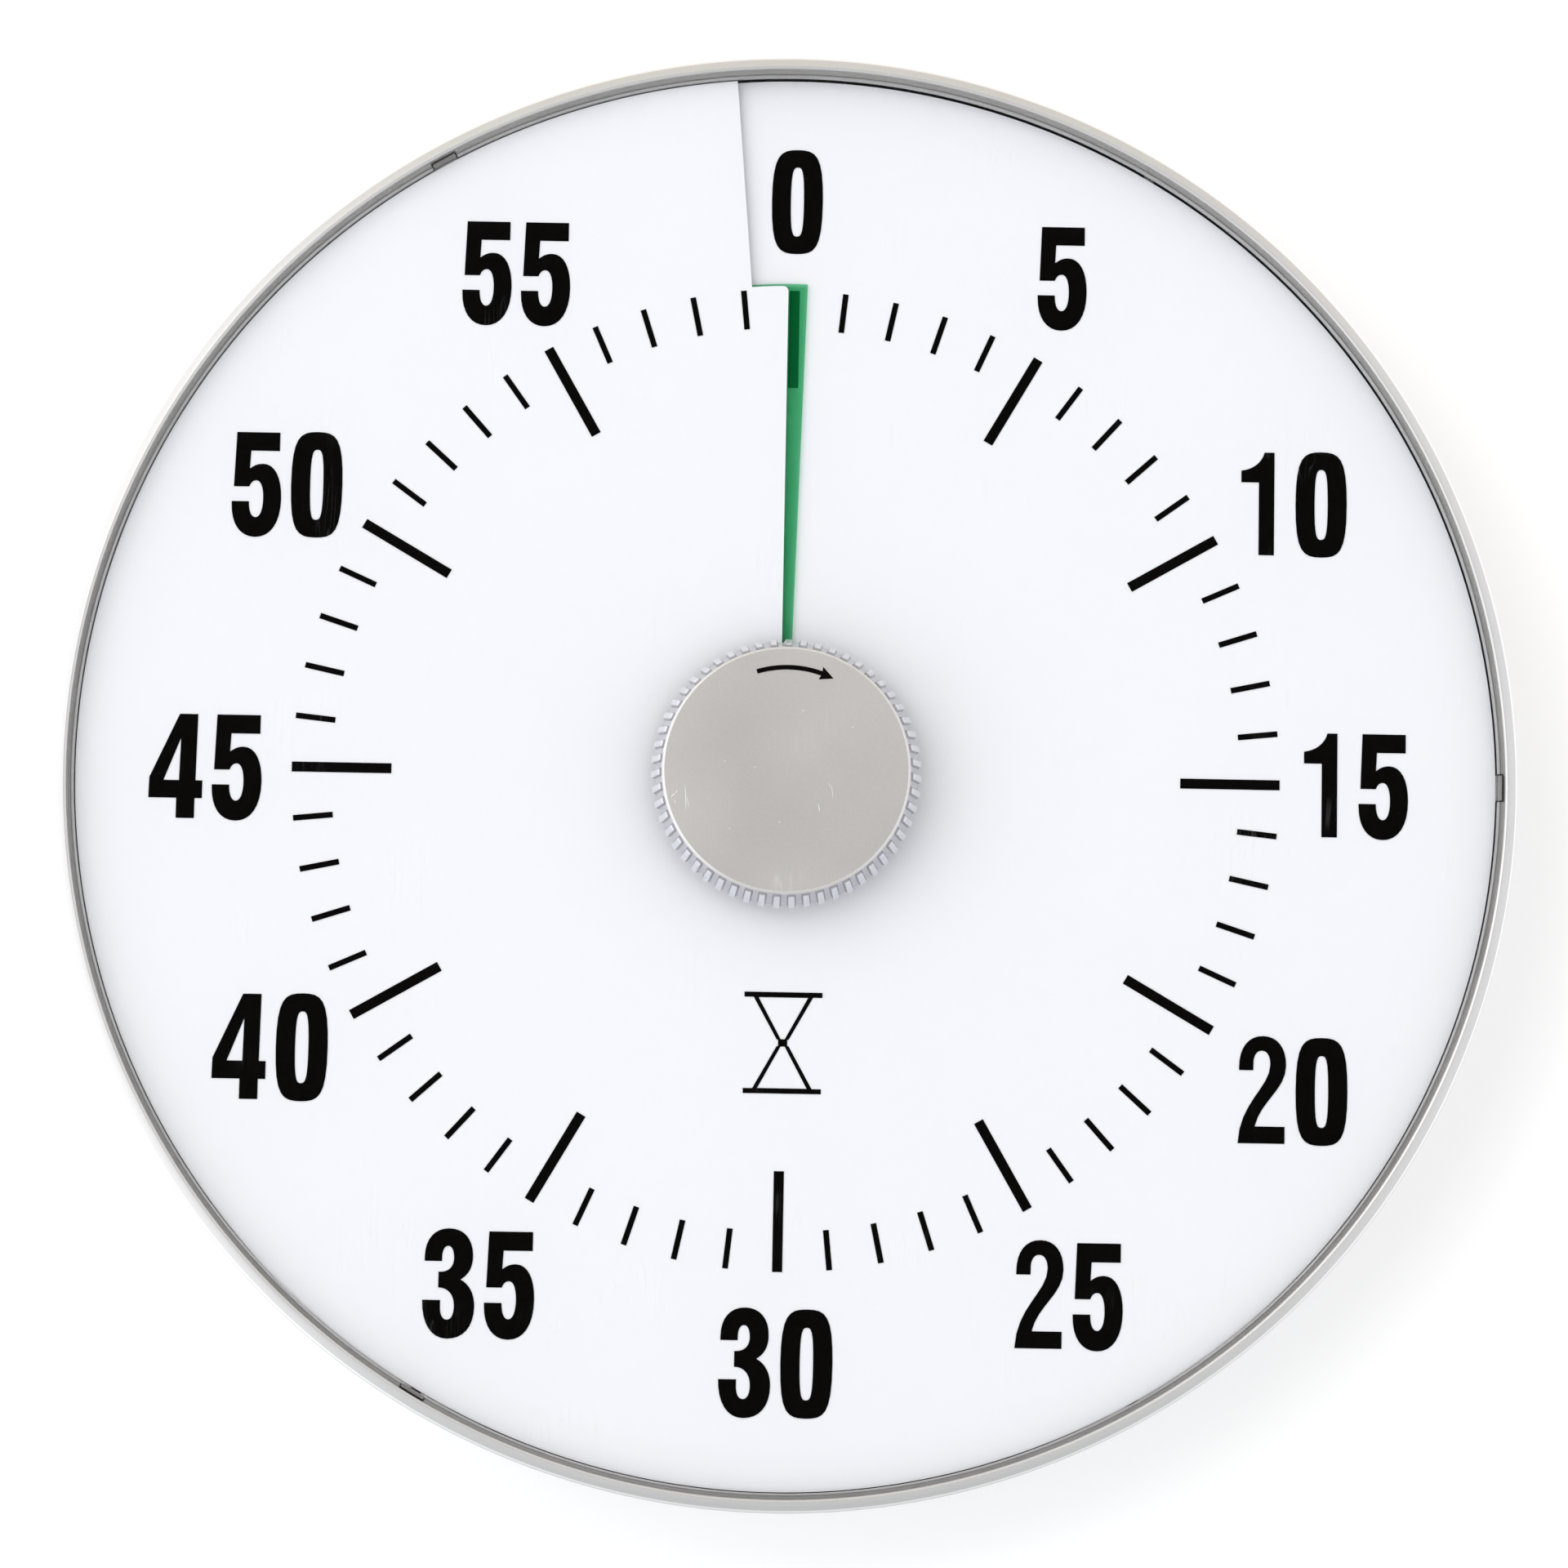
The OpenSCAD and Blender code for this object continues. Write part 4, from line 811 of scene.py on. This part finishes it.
def make_knob():
    """The ribbed knob, its sides drafted towards the cap, and the cap with its bright edge."""
    def square(clock):
        a = radians(clock)
        return SQUARE / max(abs(sin(a)), abs(cos(a)))

    def profile_at(clock):
        pitch = 360.0 / RIBS
        off = abs((clock + pitch / 2) % pitch - pitch / 2) / 360.0 * 2 * pi * CORE_R
        lift = RIB_H * min(1.0, max(0.0, (RIB_W / 2 + 0.18 - off) / 0.36))
        side, rings = [], 8
        for k in range(rings + 1):
            s = k / rings
            r = CORE_R + (NECK_R - CORE_R) * s
            side.append((r + lift, KNOB_FOOT + (RIB_TOP - RIB_END - KNOB_BASE - 0.3) * s))
        return [
            (BORE_R, KNOB_FOOT), (square(clock), KNOB_FOOT), (square(clock), KNOB_BASE),
            (9, KNOB_BASE), (9, KNOB_BASE + 2.6), (CORE_R - 2.5, KNOB_BASE + 2.6),
            (CORE_R - 2.5, KNOB_BASE), (CORE_R - 0.3 + lift, KNOB_BASE),
        ] + side + [
            (NECK_R + lift * 0.75, RIB_TOP), (NECK_R - 0.02, RIB_TOP + 0.01),
            (NECK_R - 0.12, KNOB_TOP - 1.07), (NECK_R - 0.3, CAP_RIM),
            (PLUG_R + 0.3, CAP_RIM), (PLUG_R + 0.3, CAP_SEAT), (BORE_R, CAP_SEAT),
        ]

    points, faces = turned_evenly(profile_at, RIBS * 16)
    piece("knob_grip", points, faces, "knob_silver", "knob", ["knob_body"], 40.0, "grip_silver")
    cap = [
        (0.0, CAP_SEAT + 1.1), (6.0, CAP_SEAT + 1.1), (6.0, CAP_SEAT), (PLUG_R, CAP_SEAT),
        (PLUG_R, CAP_RIM), (CAP_R, CAP_RIM), (CAP_R, KNOB_TOP - 0.38),
        (CAP_R - 0.38, KNOB_TOP), (0.0, KNOB_TOP),
    ]
    cap = rounded(cap, {5: 0.1, 6: 0.08, 7: 0.08})
    piece("knob_face", *turned_evenly(lambda clock: cap, 360), "knob_silver", "knob", ["knob_cap"])
    # The arrow as (radius, clockwise angle): its shaft's outer edge, its head, and back
    shaft = [-17.6 + 36.6 * k / 24 for k in range(25)]
    outline = [(22.9, a) for a in shaft] + [(23.85, 18.5), (22.4, 26.1), (20.95, 18.5)]
    outline += [(21.9, a) for a in reversed(shaft)]
    points = [polar(r, a, out) for out in (KNOB_TOP, KNOB_TOP + INK_T) for r, a in outline]
    count = len(outline)
    faces = [(k, (k + 1) % count, count + (k + 1) % count, count + k) for k in range(count)]
    faces += [tuple(range(count)), tuple(range(2 * count - 1, count - 1, -1))]
    piece("turn_arrow", points, faces, "print_black", "knob", ["knob_arrow"])


def make_dial():
    """The white spiral sheet, with a rounded corner at its slit, and the green disc."""
    def slit(r):
        return -degrees(asin(SLIT_OFFSET / r))

    inner = (20.0, 40.0, 65.0, 90.0)
    outer = (120.0, 140.0, LEDGE_R - 0.18)
    columns = []
    count = 3
    for c in range(count + 1):
        clock = -SLIT_ANGLE + (slit(SLIT_R) + SLIT_ANGLE) * c / count
        start = [(r, slit(r)) for r in inner] if c == count else [None] * len(inner)
        columns.append(start + [(SLIT_R, clock)] + [(r, clock) for r in outer])
    last = 355
    for clock in range(1, last + 1):
        columns.append([(r, clock) for r in inner + (SLIT_R,) + outer])
    for t in (0.3, 0.6, 0.8, 0.852, 0.875, 0.9, 0.925, 0.95, 0.97, 0.985, 0.995, 1.0):
        across = radians((1 - t) * (SLIT_ANGLE + slit(SLIT_R))) * SLIT_R
        short = SLIT_CORNER - (SLIT_CORNER ** 2 - max(0.0, SLIT_CORNER - across) ** 2) ** 0.5
        columns.append(
            [(r, last + t * (SLIT_ANGLE + slit(r))) for r in inner + (SLIT_R - short,)]
            + [None] * len(outer)
        )
    piece("dial_face", *spiral(columns, SHEET_T, DIAL_LOW), "dial_white", "case", ["dial_sheet"])

    radii = (18.0, 40.0, 65.0, 90.0, FOIL_R)
    columns = []
    for c in range(FOIL_SWEEP + 1):
        clock = FOIL_FIRST + (FOIL_LEAD - FOIL_FIRST) * c / FOIL_SWEEP
        columns.append([(r, clock) for r in radii])
    points, faces = spiral(columns, FOIL_T, DIAL_LOW + FOIL_LIFT)
    piece("foil_disc", points, faces, "foil_green", "foil", ["colour_foil"])


def make_cell():
    """The dry cell lying across the battery bay, its positive nub to the right."""
    left, right = low("battery")[0] / MM, high("battery")[0] / MM
    centre = (low("battery") + high("battery")) / 2
    r = (high("battery")[2] - low("battery")[2]) / 2 / MM
    profile = [
        (left + 0.25, 0.0), (left + 0.25, r - 1.7), (left, r - 1.4), (left, r - 0.4),
        (left + 0.4, r), (right - 1.5, r), (right - 1.1, r - 0.4), (right - 1.1, 3.7),
        (right - 1.25, 3.5), (right - 1.25, 2.7), (right - 0.3, 2.7), (right, 2.4), (right, 0.0),
    ]
    steps = 64
    points = [
        Vector((x * MM, centre.y + across * MM * cos(a), centre.z + across * MM * sin(a)))
        for a in (2 * pi * i / steps for i in range(steps)) for x, across in profile
    ]
    faces = ring_faces(steps, len(profile), closed=False)
    piece("dry_cell", points, faces, "cell_jacket", "case", ["battery"], 40.0, "cell_print")


# ---------------------------------------------------------------------------------------------
# The scene
# ---------------------------------------------------------------------------------------------

bpy.context.scene.view_settings.view_transform = "Standard"
make_camera()
make_stage()
MATERIALS = make_materials()

SLOT_OF = {entry["node"]: entry["material_slot"] for entry in frame["record"]["subparts"]}
for node, made in NODES.items():
    made.data.materials.clear()
    made.data.materials.append(MATERIALS[SLOT_OF[node]])

make_case()
make_knob()
make_dial()
make_cell()
